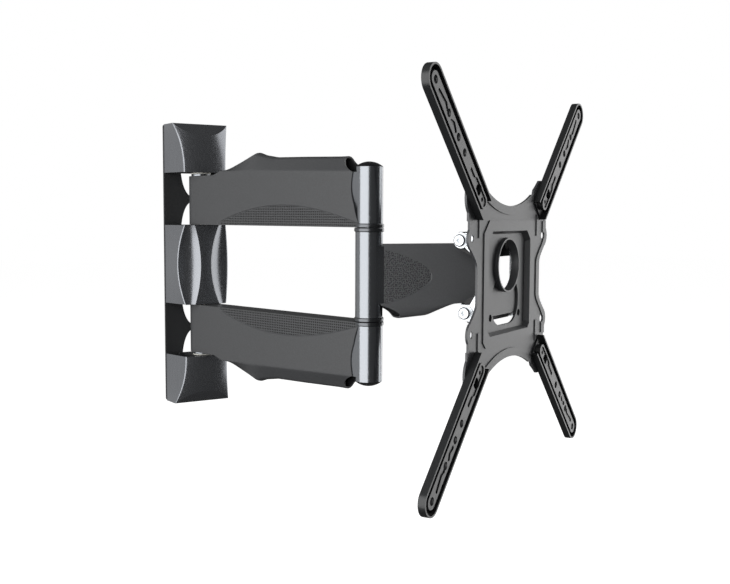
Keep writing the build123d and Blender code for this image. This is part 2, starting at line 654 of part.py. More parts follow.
def yoke_cheek():
    """Side cheek of the yoke, on the +x side: clamp lobe with its slot, and pivot lobe."""
    back = YOKE_WEB_FRONT
    upper = outline([
        (back, YOKE_WINDOW_TOP),
        (CLAMP_POINT[0] + TILT_LOBE / 2, YOKE_WINDOW_TOP + TILT_LOBE),
        (CLAMP_POINT[0] + TILT_LOBE, CLAMP_POINT[1]),
        (CLAMP_POINT[0] + TILT_LOBE / 2, CLAMP_POINT[1] + TILT_LOBE),
        (back - YOKE_FLANGE, YOKE_TOP + YOKE_FLANGE / 2),
        (back - YOKE_FLANGE, YOKE_CORNER + YOKE_FLANGE / 2),
        (back, YOKE_CORNER),
    ])
    lower = outline([
        (back, YOKE_WINDOW_BOTTOM),
        (TILT_AXIS[0] + TILT_LOBE / 2, YOKE_WINDOW_BOTTOM - TILT_LOBE),
        (TILT_AXIS[0], TILT_AXIS[1]),
        (TILT_AXIS[0], YOKE_BOTTOM),
        (back, YOKE_BOTTOM),
    ])
    lower += Pos(*TILT_AXIS) * Circle(TILT_LOBE)
    cheek = upper - clamp_slot_sketch() + lower - Pos(*TILT_AXIS) * Circle(TILT_BOLT_RADIUS + RUNNING)
    return sideways(cheek, YOKE_HALF_WIDTH - YOKE_CHEEK, YOKE_CHEEK)


def swivel_yoke():
    """Yoke behind the head: I-shaped web, two ears on the swivel pin, two cheeks for the tilt bolts."""
    full = 2 * YOKE_HALF_WIDTH
    web = Pos(0, (YOKE_TOP + YOKE_WINDOW_TOP) / 2) * Rectangle(full, YOKE_TOP - YOKE_WINDOW_TOP)
    web += Pos(0, (YOKE_BOTTOM + YOKE_WINDOW_BOTTOM) / 2) * Rectangle(full, YOKE_WINDOW_BOTTOM - YOKE_BOTTOM)
    web += Pos(0, (YOKE_TOP + YOKE_BOTTOM) / 2) * Rectangle(2 * YOKE_SPINE_HALF, YOKE_TOP - YOKE_BOTTOM)
    bay_height = YOKE_TOP - YOKE_CORNER + YOKE_FLANGE
    for side in (1, -1):
        x = side * (YOKE_HALF_WIDTH - YOKE_NUT_BAY / 2)
        web -= Pos(x, YOKE_CORNER + bay_height / 2) * Rectangle(YOKE_NUT_BAY + YOKE_FLANGE / 2, bay_height)
    yoke = facing(web, YOKE_WEB_FRONT, YOKE_WEB)
    reach = YOKE_SETBACK - YOKE_WEB_FRONT
    ear = Pos(0, -reach / 2) * Rectangle(2 * EAR_RADIUS, reach)
    ear += Circle(EAR_RADIUS)
    ear -= Circle(PIVOT_BOLT_RADIUS + THROUGH)
    top_ear = upright(ear, SWIVEL_EAR_Z, EAR_THICKNESS)
    yoke += SWIVEL_IN_HEAD * top_ear
    yoke += SWIVEL_IN_HEAD * mirrored(top_ear)
    cheek = yoke_cheek()
    return yoke + cheek + mirror(cheek, about=Plane.YZ)


def swivel_pin():
    """Bolt through the yoke's ears and the front arm's barrel."""
    seat = SWIVEL_EAR_Z + EAR_THICKNESS
    below = seat + NUT_HEIGHT + THREAD_TAIL
    pin = upright(Circle(PIVOT_BOLT_RADIUS), -below, seat + below)
    pin += upright(RegularPolygon(BOLT_HEAD_RADIUS, 6, major_radius=False), seat, BOLT_HEAD_HEIGHT)
    return SWIVEL_IN_HEAD * pin


def swivel_nut():
    """Lock nut under the yoke's lower ear."""
    bottom = -SWIVEL_EAR_Z - EAR_THICKNESS - NUT_HEIGHT
    return SWIVEL_IN_HEAD * hex_nut(NUT_FLAT_RADIUS, PIVOT_BOLT_RADIUS, bottom, NUT_HEIGHT)


def swivel_washers():
    """Nylon washers between the yoke's ears and the swivel barrel."""
    washer = tube(WASHER_RADIUS, PIVOT_BOLT_RADIUS + THROUGH, SWIVEL_BARREL_HALF + AXIAL, WASHER_THICKNESS)
    return SWIVEL_IN_HEAD * pair(washer)


# ---- head ---------------------------------------------------------------------------------------

def lobe_flare(inset):
    """Edge that runs in an S from a lobe down to the waist, on the +x, +z corner."""
    out = LOBE_CENTRE[0] + LOBE_RADIUS - inset
    waist = WAIST_HALF - inset
    edge = []
    for step in range(FLARE_STEPS + 1):
        run = step / FLARE_STEPS
        ease = run * run * (3 - 2 * run)
        edge.append((out + (waist - out) * ease, LOBE_CENTRE[1] + (FLARE_END_Z - LOBE_CENTRE[1]) * run))
    return make_face(Polyline(*edge, (0, FLARE_END_Z), (0, LOBE_CENTRE[1]), close=True))


def head_outline(inset):
    """Stamped outline of the head plate, each edge moved in by an inset."""
    shape = Rectangle(2 * (WAIST_HALF - inset), 2 * (SHOULDER_Z - inset))
    bridge_inner = LOBE_CENTRE[0] - LOBE_RADIUS
    bridge = (LOBE_BRIDGE_OUT - inset + bridge_inner) / 2
    for sx in (1, -1):
        for sz in (1, -1):
            shape += Pos(sx * EAR_CENTRE[0], sz * EAR_CENTRE[1]) * Circle(HEAD_EAR_RADIUS - inset)
            run = (ADAPTER_PIVOT - EAR_CENTRE[0]) * 2 ** 0.5
            centre = (ADAPTER_PIVOT + EAR_CENTRE[0]) / 2
            tab = SlotCenterToCenter(run, 2 * (BOSS_RADIUS - inset))
            shape += Pos(sx * centre, sz * centre) * Rot(0, 0, 45 * sx * sz) * tab
            shape += Pos(sx * LOBE_CENTRE[0], sz * LOBE_CENTRE[1]) * Circle(LOBE_RADIUS - inset)
            flare = lobe_flare(inset)
            flare = flare if sx > 0 else flare.mirror(Plane.YZ)
            shape += flare if sz > 0 else flare.mirror(Plane.XZ)
            shape += Pos(sx * bridge, sz * (LOBE_CENTRE[1] + EAR_CENTRE[1]) / 2) * Rectangle(
                LOBE_BRIDGE_OUT - inset - bridge_inner, EAR_CENTRE[1] - LOBE_CENTRE[1])
    for sz in (1, -1):
        shape -= Pos(0, sz * (VALLEY_Z + VALLEY_RADIUS)) * Circle(VALLEY_RADIUS + inset)
    return shape


def cut_corner_box(half, corner):
    """Rectangle whose two upper corners are cut off and whose lower corners are rounded by short flats."""
    x, z = half
    soft = corner / 2
    return outline([
        (-x + corner, z), (x - corner, z), (x, z - corner), (x, -z + soft),
        (x - soft, -z), (-x + soft, -z), (-x, -z + soft), (-x, z - corner),
    ])


def pan(front, depth, grow):
    """Tapered form of the sunken panel from a front y back, grown outwards."""
    x, z = PAN_HALF
    mouth = cut_corner_box((x + grow, z + grow), PAN_CORNER)
    floor = cut_corner_box((x - PAN_DRAFT + grow, z - PAN_DRAFT + grow), PAN_CORNER)
    return loft([
        Plane.XZ.offset(-front) * mouth,
        Plane.XZ.offset(-front - depth) * floor,
    ])


def slot_sketch():
    """Rounded opening in the sunken panel below the ring."""
    height = SLOT_TOP - SLOT_BOTTOM
    slot = Pos(0, (SLOT_TOP + SLOT_BOTTOM) / 2) * RectangleRounded(2 * SLOT_HALF, height, SLOT_CORNER)
    return slot + Pos(0, RING_CENTRE_Z) * Circle(RING_RADIUS + RING_WALL + PART_GAP)


def four_discs(radius):
    """Discs round the four adapter pivots."""
    corners = [(sx * ADAPTER_PIVOT, sz * ADAPTER_PIVOT) for sx in (1, -1) for sz in (1, -1)]
    return Sketch() + [Pos(*corner) * Circle(radius) for corner in corners]


def head_plate():
    """Stamped head plate: raised rim, set-back ears, sunken panel and VESA 200 by 100 holes."""
    ears = head_outline(0) & four_discs(EAR_FIELD_RADIUS)
    field = head_outline(RIM) - cut_corner_box(FRAME_HALF, FRAME_CORNER)
    plate = facing(head_outline(0), 0, SHEET) - facing(field + ears, 0, RIM_STEP)
    plate += facing(ears, RIM_STEP, SHEET)
    plate += pan(RIM_STEP, PAN_DEPTH + SHEET - RIM_STEP, SHEET)
    plate -= pan(-SHEET, PAN_DEPTH + SHEET, 0)
    holes = slot_sketch() + four_discs(PIVOT_SCREW_RADIUS + THROUGH)
    for sx in (1, -1):
        holes += Pos(sx * RIVET_PLACE[0], RIVET_PLACE[1]) * Circle(RIVET_RADIUS)
        for sz in (1, -1):
            holes += Pos(sx * VESA_CORE_X / 2, sz * VESA_CORE_Z / 2) * Circle(VESA_HOLE_RADIUS)
    return plate - facing(holes, -SHEET, PAN_DEPTH + 3 * SHEET)


def back_plate():
    """Plate welded behind the sunken panel; its drawn ring stands forward through the panel's opening."""
    height = BACK_PLATE_TOP - BACK_PLATE_BOTTOM
    sheet = Pos(0, (BACK_PLATE_TOP + BACK_PLATE_BOTTOM) / 2) * Rectangle(2 * BACK_PLATE_HALF, height)
    ring = Pos(0, RING_CENTRE_Z) * Circle(RING_RADIUS + RING_WALL)
    bore = Pos(0, RING_CENTRE_Z) * Circle(RING_RADIUS)
    for sx in (1, -1):
        sheet += Pos(sx * RIVET_PLACE[0], RIVET_PLACE[1]) * Circle(RIVET_RADIUS + RIVET_BORDER)
    plate = facing(sheet - bore, BACK_PLATE_FRONT, SHEET)
    return plate + facing(ring - bore, RING_FRONT, BACK_PLATE_FRONT - RING_FRONT + SHEET)


def tilt_ear():
    """Zinc-plated angle on the +x side, welded behind the back plate, which holds both tilt bolts."""
    base = BACK_PLATE_FRONT + SHEET
    lobe = TILT_LOBE - TILT_LOBE_TRIM
    ear = outline([
        (base, CLAMP_POINT[1] + TILT_LOBE),
        (base, YOKE_BOTTOM),
        (TILT_AXIS[0], YOKE_BOTTOM + YOKE_FLANGE),
        (TILT_AXIS[0] + TILT_LOBE, TILT_AXIS[1] - TILT_LOBE / 2),
        (TILT_AXIS[0] + 1.5 * TILT_LOBE, TILT_AXIS[1] + TILT_LOBE),
        (TILT_AXIS[0] - TILT_LOBE / 2, TILT_AXIS[1] + TILT_LOBE),
        (YOKE_WEB_FRONT, YOKE_WINDOW_BOTTOM),
        (YOKE_WEB_FRONT, YOKE_WINDOW_TOP),
        (CLAMP_POINT[0] - TILT_LOBE / 2, CLAMP_POINT[1] - lobe),
        CLAMP_POINT,
        (CLAMP_POINT[0], CLAMP_POINT[1] + lobe),
    ])
    ear += Pos(*CLAMP_POINT) * Circle(lobe)
    for point in (CLAMP_POINT, TILT_AXIS):
        ear -= Pos(*point) * Circle(TILT_BOLT_RADIUS + THROUGH)
    foot = outline([
        (TILT_EAR_INNER - TILT_EAR_FOOT, YOKE_WINDOW_BOTTOM),
        (TILT_EAR_INNER + TILT_EAR_THICKNESS, YOKE_WINDOW_BOTTOM),
        (TILT_EAR_INNER + TILT_EAR_THICKNESS, YOKE_WINDOW_TOP),
        (TILT_EAR_INNER - TILT_EAR_FOOT, YOKE_WINDOW_TOP),
    ])
    return sideways(ear, TILT_EAR_INNER, TILT_EAR_THICKNESS) + facing(foot, base, SHEET)


def tilt_bolt(point):
    """Button-head bolt with a washer face, on the +x side: through the ear and the yoke's cheek."""
    y, z = point
    ear_face = TILT_EAR_INNER + TILT_EAR_THICKNESS
    tail = YOKE_HALF_WIDTH - YOKE_CHEEK - AXIAL - TILT_NUT_HEIGHT - TILT_THREAD
    head = ear_face + WASHER_THICKNESS
    bolt = sideways(Circle(TILT_BOLT_RADIUS), tail, head - tail)
    bolt += sideways(Circle(TILT_HEAD_RADIUS), head, TILT_HEAD_HEIGHT)
    bolt = chamfer(bolt.edges().sort_by(Axis.X)[-1], TILT_HEAD_HEIGHT / 3)
    socket = RegularPolygon(TILT_SOCKET_RADIUS, 6, major_radius=False)
    bolt -= sideways(socket, head + TILT_SOCKET_FLOOR, TILT_HEAD_HEIGHT)
    return Pos(0, y, z) * bolt


def tilt_washers():
    """Plain washers under the four tilt bolt heads."""
    ring = Circle(TILT_WASHER_RADIUS) - Circle(TILT_BOLT_RADIUS + THROUGH)
    washer = sideways(ring, TILT_EAR_INNER + TILT_EAR_THICKNESS, WASHER_THICKNESS)
    both = [Pos(0, *CLAMP_POINT) * washer, Pos(0, *TILT_AXIS) * washer]
    return sides(Compound(children=both))


def tilt_nuts():
    """Lock nuts on the four tilt bolts, inside the yoke's cheeks."""
    ring = RegularPolygon(TILT_NUT_RADIUS, 6, major_radius=False) - Circle(TILT_BOLT_RADIUS)
    inner = YOKE_HALF_WIDTH - YOKE_CHEEK - AXIAL - TILT_NUT_HEIGHT
    nut = sideways(ring, inner, TILT_NUT_HEIGHT)
    both = [Pos(0, *CLAMP_POINT) * nut, Pos(0, *TILT_AXIS) * nut]
    return sides(Compound(children=both))


def pivot_screw():
    """Flat-head screw on which one adapter arm turns, in the adapter's frame."""
    front = ADAPTER_FLOOR - AXIAL
    shank_end = EAR_BACK + PIVOT_NUT_HEIGHT
    screw = facing(Circle(PIVOT_SCREW_HEAD), front - PIVOT_SCREW_HEAD_HEIGHT, PIVOT_SCREW_HEAD_HEIGHT)
    screw += facing(Circle(PIVOT_SCREW_RADIUS), front, shank_end - front)
    socket = facing(RegularPolygon(TILT_SOCKET_RADIUS, 6, major_radius=False),
                    front - PIVOT_SCREW_HEAD_HEIGHT, PIVOT_SCREW_HEAD_HEIGHT)
    return screw - socket


def pivot_screw_nut():
    """Nut behind the head plate's ear."""
    ring = RegularPolygon(PIVOT_NUT_RADIUS, 6, major_radius=False) - Circle(PIVOT_SCREW_RADIUS)
    return facing(ring, EAR_BACK, PIVOT_NUT_HEIGHT)


def four_corners(part):
    """Copies of a part at the four adapter pivots, as separate solids."""
    places = [Pos(sx * ADAPTER_PIVOT, 0, sz * ADAPTER_PIVOT) for sx in (1, -1) for sz in (1, -1)]
    return Compound(children=[place * part for place in places])


def groove(hole, steps):
    """Zigzag groove in the adapter's rib, its corners at steps back from a hole."""
    sways = (ADAPTER_GROOVE_SWAY, -ADAPTER_GROOVE_SWAY, ADAPTER_GROOVE_SWAY / 2)
    points = [(hole - step, sway) for step, sway in zip(steps, sways)]
    shape = Sketch()
    for (x0, z0), (x1, z1) in zip(points, points[1:]):
        run = SlotCenterToCenter(hypot(x1 - x0, z1 - z0), ADAPTER_GROOVE_WIDTH)
        run = Pos((x0 + x1) / 2, (z0 + z1) / 2) * Rot(0, 0, degrees(atan2(z1 - z0, x1 - x0))) * run
        shape += run
    return shape


def stadium(start, end, width):
    """Sketch with round ends that runs along x from start to end."""
    return Pos((start + end) / 2, 0) * SlotOverall(end - start, width)


def adapter_pocket():
    """Bottle-shaped pocket round the pivot: a wide part that tapers to a neck."""
    neck = ADAPTER_GROOVE_WIDTH / 2
    bottle = stadium(-ADAPTER_RIB_TAIL + 2 * ADAPTER_RIB_WALL, ADAPTER_POCKET_END, 2 * ADAPTER_POCKET_HALF)
    shoulder = ADAPTER_POCKET_END - ADAPTER_POCKET_HALF
    taper = outline([
        (shoulder, ADAPTER_POCKET_HALF),
        (ADAPTER_POCKET_END, neck),
        (ADAPTER_NECK_END, neck),
        (ADAPTER_NECK_END, -neck),
        (ADAPTER_POCKET_END, -neck),
        (shoulder, -ADAPTER_POCKET_HALF),
    ])
    return bottle + taper


def adapter_arm():
    """Stamped adapter arm, x outwards from its pivot: side walls and a raised rib face the television."""
    end = ADAPTER_TIP + ADAPTER_TIP_RADIUS
    past_tail = -ADAPTER_TAIL - ADAPTER_WIDTH
    inset = 2 * ADAPTER_SHEET
    outside = stadium(past_tail, end, ADAPTER_WIDTH)
    inside = stadium(past_tail + ADAPTER_SHEET, end - ADAPTER_SHEET, ADAPTER_WIDTH - inset)
    outside &= Pos((end - ADAPTER_TAIL) / 2, 0) * Rectangle(end + ADAPTER_TAIL, ADAPTER_WIDTH)
    rib_end = ADAPTER_TIP + ADAPTER_RIB_TIP
    rib = stadium(-ADAPTER_RIB_TAIL, rib_end, ADAPTER_RIB_WIDTH)
    hollow = stadium(-ADAPTER_RIB_TAIL + ADAPTER_RIB_WALL, rib_end - ADAPTER_RIB_WALL,
                     ADAPTER_RIB_WIDTH - 2 * ADAPTER_RIB_WALL)
    cup = Circle(ADAPTER_RIB_WIDTH / 2)
    well = Circle(ADAPTER_RIB_WIDTH / 2 - ADAPTER_RIB_WALL)

    arm = facing(outside - hollow, ADAPTER_FLOOR, ADAPTER_SHEET)
    arm += facing(outside - inside, -ADAPTER_RIM, ADAPTER_RIM + ADAPTER_BACK)
    arm += facing(rib, -ADAPTER_FACE, ADAPTER_FACE + ADAPTER_FLOOR)
    arm -= facing(hollow, -ADAPTER_FACE + ADAPTER_SHEET, 2 * ADAPTER_RIM)
    arm += facing(cup, -ADAPTER_FACE, ADAPTER_FACE + ADAPTER_BACK)
    arm -= facing(well, -2 * ADAPTER_RIM, 2 * ADAPTER_RIM + ADAPTER_FLOOR)

    grooves = adapter_pocket()
    grooves += groove(ADAPTER_TIP, ADAPTER_GROOVE_STEPS)
    grooves += groove(ADAPTER_EXTRA_HOLES[1], ADAPTER_SHORT_STEPS)
    arm -= facing(grooves, -ADAPTER_FACE, ADAPTER_GROOVE)
    holes = Circle(PIVOT_SCREW_RADIUS + RUNNING)
    holes += Pos(ADAPTER_LOCATING, 0) * Circle(ADAPTER_LOCATING_RADIUS)
    for x in (*ADAPTER_EXTRA_HOLES, ADAPTER_MIDDLE, ADAPTER_TIP):
        holes += Pos(x, 0) * Circle(VESA_HOLE_RADIUS)
    return arm - facing(holes, -2 * ADAPTER_RIM, 4 * ADAPTER_RIM)


def adapter_frame(sx, sz):
    """Place of one adapter arm: pivot on its boss, pointing out along the plate's diagonal."""
    turn = degrees(atan2(sz, sx))
    return HEAD_FRAME * Pos(sx * ADAPTER_PIVOT, 0, sz * ADAPTER_PIVOT) * Rot(0, -turn, 0)


def main():
    """Builds every node in its body's frame, sets it in the rest pose and writes it."""
    os.makedirs("parts", exist_ok=True)
    nodes = {}

    def put(frame, **parts):
        for name, part in parts.items():
            nodes[name] = frame * part

    bracket, bolt, nut, washers, cover = (
        outer_hinge_bracket(), pivot_bolt(), pivot_nut(), pivot_washers(), end_cover())
    put(
        WALL_FRAME,
        wall_plate=wall_plate(),
        upper_hinge_bracket=bracket,
        middle_hinge_bracket=middle_hinge_bracket(),
        lower_hinge_bracket=mirrored(bracket),
        upper_pivot_bolt=bolt,
        lower_pivot_bolt=mirrored(bolt),
        pivot_nuts=pair(nut),
        pivot_washers=pair(washers),
        upper_wall_cover=cover,
        middle_wall_cover=middle_cover(),
        lower_wall_cover=mirrored(cover),
    )

    arm, half, cap = rear_arm_frame(), rear_cover_half(), column_cap()
    put(
        REAR_FRAME,
        upper_rear_arm=arm,
        lower_rear_arm=mirrored(arm),
        upper_rear_cover_near=half,
        upper_rear_cover_far=cover_far(half),
        lower_rear_cover_near=mirrored(half),
        lower_rear_cover_far=mirrored(cover_far(half)),
        rear_pivot_bushes=pair(pivot_bushes()),
        column_end_bushes=pair(column_end_bushes()),
        column_spindle=column_spindle(),
        column_spindle_nut=column_spindle_nut(),
        column_top_cap=cap,
        column_bottom_cap=mirrored(cap),
    )

    half = front_cover_half()
    put(
        FRONT_FRAME,
        front_arm=front_arm_frame(),
        front_cover_near=half,
        front_cover_far=cover_far(half),
        middle_column_bushes=middle_column_bushes(),
        swivel_bushes=swivel_bushes(),
    )

    put(
        HEAD_FRAME,
        swivel_yoke=swivel_yoke(),
        swivel_pin=swivel_pin(),
        swivel_nut=swivel_nut(),
        swivel_washers=swivel_washers(),
        head_plate=head_plate(),
        head_back_plate=back_plate(),
        tilt_ear_right=tilt_ear(),
        tilt_ear_left=mirror(tilt_ear(), about=Plane.YZ),
        tilt_clamp_bolts=sides(tilt_bolt(CLAMP_POINT)),
        tilt_pivot_bolts=sides(tilt_bolt(TILT_AXIS)),
        tilt_washers=tilt_washers(),
        tilt_nuts=tilt_nuts(),
        adapter_pivot_screws=four_corners(pivot_screw()),
        adapter_pivot_nuts=four_corners(pivot_screw_nut()),
    )

    adapter = adapter_arm()
    for side, sx in (("left", -1), ("right", 1)):
        for level, sz in (("upper", 1), ("lower", -1)):
            nodes[f"adapter_arm_{level}_{side}"] = adapter_frame(sx, sz) * adapter

    for name, part in nodes.items():
        export_step(part, f"parts/{name}.step")
    print(len(nodes), "nodes written")


main()
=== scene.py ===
# %% [markdown]
# # A full-motion wall mount for a flat television
#
# The mount is pressed and welded steel under moulded plastic covers. Its metal pieces come from the CAD
# model, already in place, and get rounded edges and their real finishes. The covers have soft, sculpted
# shapes, so each is worked out here as a surface on a grid and stands in for its plain CAD solid.

# %% Load the frame
import json
import math

import bmesh
import bpy
import numpy as np
from mathutils import Matrix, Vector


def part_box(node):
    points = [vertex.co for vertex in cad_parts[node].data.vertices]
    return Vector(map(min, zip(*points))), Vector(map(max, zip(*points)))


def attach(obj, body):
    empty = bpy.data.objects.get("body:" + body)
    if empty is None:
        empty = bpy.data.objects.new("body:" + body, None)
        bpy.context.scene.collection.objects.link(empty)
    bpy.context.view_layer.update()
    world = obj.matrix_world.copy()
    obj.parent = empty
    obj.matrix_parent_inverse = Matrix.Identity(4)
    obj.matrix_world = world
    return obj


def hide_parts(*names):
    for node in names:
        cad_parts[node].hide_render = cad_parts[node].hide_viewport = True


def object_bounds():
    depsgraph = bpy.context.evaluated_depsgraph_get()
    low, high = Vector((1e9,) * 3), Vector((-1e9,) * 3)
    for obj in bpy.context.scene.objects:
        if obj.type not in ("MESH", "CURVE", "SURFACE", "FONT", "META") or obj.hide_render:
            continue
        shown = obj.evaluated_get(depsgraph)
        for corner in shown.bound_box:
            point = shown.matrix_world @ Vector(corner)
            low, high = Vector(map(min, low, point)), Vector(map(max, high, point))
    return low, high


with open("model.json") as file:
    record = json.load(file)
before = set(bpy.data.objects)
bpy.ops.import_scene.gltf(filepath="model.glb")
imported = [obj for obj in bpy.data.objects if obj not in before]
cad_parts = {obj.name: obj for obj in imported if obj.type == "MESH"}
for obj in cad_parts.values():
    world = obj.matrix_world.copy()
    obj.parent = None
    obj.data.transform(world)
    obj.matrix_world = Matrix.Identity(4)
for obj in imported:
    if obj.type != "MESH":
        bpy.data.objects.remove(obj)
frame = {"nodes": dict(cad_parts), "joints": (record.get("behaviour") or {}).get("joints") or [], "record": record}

MM = 0.001
cad_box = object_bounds()
joints = {joint["name"]: joint for joint in frame["joints"]}
print("CAD nodes:", len(frame["nodes"]), "joints:", len(joints))

# %% [markdown]
# ## Where each arm lies
#
# Every joint's axis is in the frame, and that is enough to find the arms. An arm's own axes are x from its
# inner hinge to its outer hinge, z up, and y across its thickness. A shape is written in these axes, in
# millimetres, and one function carries it to the mount's axes, in metres.

# %% Arm axes from the joints
def arm_axes(inner, outer):
    """Origin and three unit axes of an arm: x from hinge to hinge, z up, y = z cross x."""
    start = np.array(joints[inner]["pos_m"])
    along = np.array(joints[outer]["pos_m"]) - start
    length = np.linalg.norm(along)
    x = along / length
    z = np.array([0.0, 0.0, 1.0])
    return start, np.stack([x, np.cross(z, x), z]), length / MM


def place(points, axes):
    """Local millimetres to metres in the mount's frame: origin plus each coordinate times its axis."""
    origin, directions = axes[:2]
    return origin + MM * np.asarray(points) @ directions


REAR = arm_axes("wall_swing", "elbow_swing")
FRONT = arm_axes("elbow_swing", "head_swivel")
WALL = (np.zeros(3), np.eye(3), 0.0)
print("rear arm", round(REAR[2], 1), "mm; front arm", round(FRONT[2], 1), "mm")

# %% [markdown]
# ## Grids that become meshes
#
# A moulded cover is one sheet that bends, so it is natural to describe it by two parameters: one runs along
# the piece and the other round its section. The arrays below hold a point for each pair of parameters. The
# mesh joins neighbours into four-sided faces, turns them all to face outwards, and merges the rows that
# meet at a point. A Solidify modifier then gives the sheet its moulded thickness, and a Bevel rounds edges.

# %% Mesh from a grid of points
CREASE = 24        # degrees; a sharper fold is drawn as a crisp line
MERGE = 0.01       # millimetres; points this close are one
CORNER_STEPS = 7   # points on a rounded corner


def grid_mesh(name, points, outward, uv=None, panel=None):
    """Object from a rows by columns grid of points in metres, faces turned towards the outward vector.

    uv is rows by columns by 2. panel is a rows by columns mask, stored as the point attribute "panel".
    """
    rows, columns = points.shape[:2]
    index = np.arange(rows * columns).reshape(rows, columns)
    quads = np.stack([index[:-1, :-1], index[:-1, 1:], index[1:, 1:], index[1:, :-1]], -1).reshape(-1, 4)
    flat = points.reshape(-1, 3)
    diagonals = np.cross(flat[quads[:, 2]] - flat[quads[:, 0]], flat[quads[:, 3]] - flat[quads[:, 1]])
    if diagonals.sum(0) @ np.asarray(outward, float) < 0:
        quads = quads[:, ::-1]
    mesh = bpy.data.meshes.new(name)
    mesh.from_pydata(flat.tolist(), [], quads.tolist())
    if uv is not None:
        layer = mesh.uv_layers.new(name="UVMap")
        layer.data.foreach_set("uv", uv.reshape(-1, 2)[quads.reshape(-1)].ravel())
    if panel is not None:
        mesh.attributes.new("panel", "FLOAT", "POINT").data.foreach_set("value", panel.ravel())
    work = bmesh.new()
    work.from_mesh(mesh)
    bmesh.ops.remove_doubles(work, verts=work.verts, dist=MERGE * MM)
    work.to_mesh(mesh)
    work.free()
    mesh.shade_smooth()
    mesh.set_sharp_from_angle(angle=math.radians(CREASE))
    piece = bpy.data.objects.new(name, mesh)
    bpy.context.scene.collection.objects.link(piece)
    return piece


def shell(piece, thickness, edge, angle=22):
    """Gives a sheet its wall, inwards, and rounds its edges; sizes in millimetres."""
    wall = piece.modifiers.new("wall", "SOLIDIFY")
    wall.thickness = thickness * MM
    wall.offset = -1
    wall.use_even_offset = True
    wall.use_quality_normals = True
    round_edges(piece, edge, angle)


def paint_edge_highlights(piece, segments):
    """Gives the rounded edges a much lighter metallic paint as the second material: a painted highlight."""
    piece.data.materials.append(edge_highlight_paint)
    piece.modifiers["edges"].material = 1
    piece.modifiers["edges"].segments = segments


def round_edges(piece, width, angle=30, segments=2):
    """Bevel on every edge sharper than the angle, shaded so that flat faces stay flat."""
    bevel = piece.modifiers.new("edges", "BEVEL")
    bevel.width = width * MM
    bevel.segments = segments
    bevel.limit_method = "ANGLE"
    bevel.angle_limit = math.radians(angle)
    bevel.harden_normals = True
    bevel.miter_outer = "MITER_ARC"


def hand_over(piece, plastic, body, node):
    """Gives a cover its plastic and the body it rides on, and hides the CAD node it stands in for."""
    piece.data.materials.append(plastic)
    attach(piece, body)
    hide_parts(node)


def soft_line(at, knots, blur):
    """Value of a line through knots at the given places, its corners rounded by a Gaussian blur in mm."""
    step = blur / 4
    side = 12                      # samples on each side of the blur, three times its width
    places, values = np.array(knots, float).T
    dense = np.arange(places[0] - 4 * blur, places[-1] + 4 * blur, step)
    weight = np.exp(-0.5 * (np.arange(-side, side + 1) * step / blur) ** 2)
    line = np.convolve(np.interp(dense, places, values), weight / weight.sum(), mode="same")
    return np.interp(at, dense[side:-side], line[side:-side])


def round_corner(points, column, radius):
    """The grid with one column replaced by CORNER_STEPS, on a curve that rounds the corner there.

    The curve is a quadratic Bezier: it leaves one neighbour's side at the radius from the corner, is pulled
    towards the corner, and lands at the same distance on the other side.
    """
    corner = points[:, column]
    ends = []
    for neighbour in (column - 1, column + 1):
        away = points[:, neighbour] - corner
        length = np.maximum(np.linalg.norm(away, axis=1, keepdims=True), 1e-9)
        ends.append(corner + away * np.minimum(radius / length, 0.45))
    t = np.linspace(0, 1, CORNER_STEPS)[None, :, None]
    curve = (1 - t) ** 2 * ends[0][:, None] + 2 * t * (1 - t) * corner[:, None] + t ** 2 * ends[1][:, None]
    return np.concatenate([points[:, :column], curve, points[:, column + 1:]], axis=1)


def smooth_step(value):
    """0 below 0, 1 above 1, and an S-shaped rise between."""
    value = np.clip(value, 0, 1)
    return value * value * (3 - 2 * value)


# %% [markdown]
# ## Finishes
#
# Each finish starts from what the real one is. One function turns an sRGB hex colour to the linear values
# that the shader mixes, and one adds a node, sets its values and links its inputs. Patterns are sized from
# real millimetres: a texture's scale is one over the pattern's size in metres.

# %% Colour and node helpers
def linear(code):
    """sRGB hex, such as "2b2c2e", to linear red, green, blue and alpha."""
    channels = np.array([int(code[i:i + 2], 16) / 255 for i in (0, 2, 4)])
    low, high = channels / 12.92, ((channels + 0.055) / 1.055) ** 2.4
    return (*np.where(channels <= 0.04045, low, high), 1.0)


def add(tree, kind, inputs=(), **settings):
    """Adds a node of a kind; inputs maps sockets to values or to other nodes' outputs."""
    node = tree.nodes.new(kind)
    for key, value in settings.items():
        setattr(node, key, value)
    for key, value in dict(inputs).items():
        if isinstance(value, bpy.types.NodeSocket):
            tree.links.new(value, node.inputs[key])
        else:
            node.inputs[key].default_value = value
    return node


def finish(name, constants):
    """New material with one Principled shader; returns the material, its tree and the shader."""
    material = bpy.data.materials.new(name)
    material.use_nodes = True
    tree = material.node_tree
    shader = tree.nodes["Principled BSDF"]
    for key, value in constants.items():
        shader.inputs[key].default_value = value
    return material, tree, shader


NOISE_SPREAD = (0.3, 0.7)      # the noise rarely leaves this stretch of its range
NOISE_ROUGHNESS = 0.6


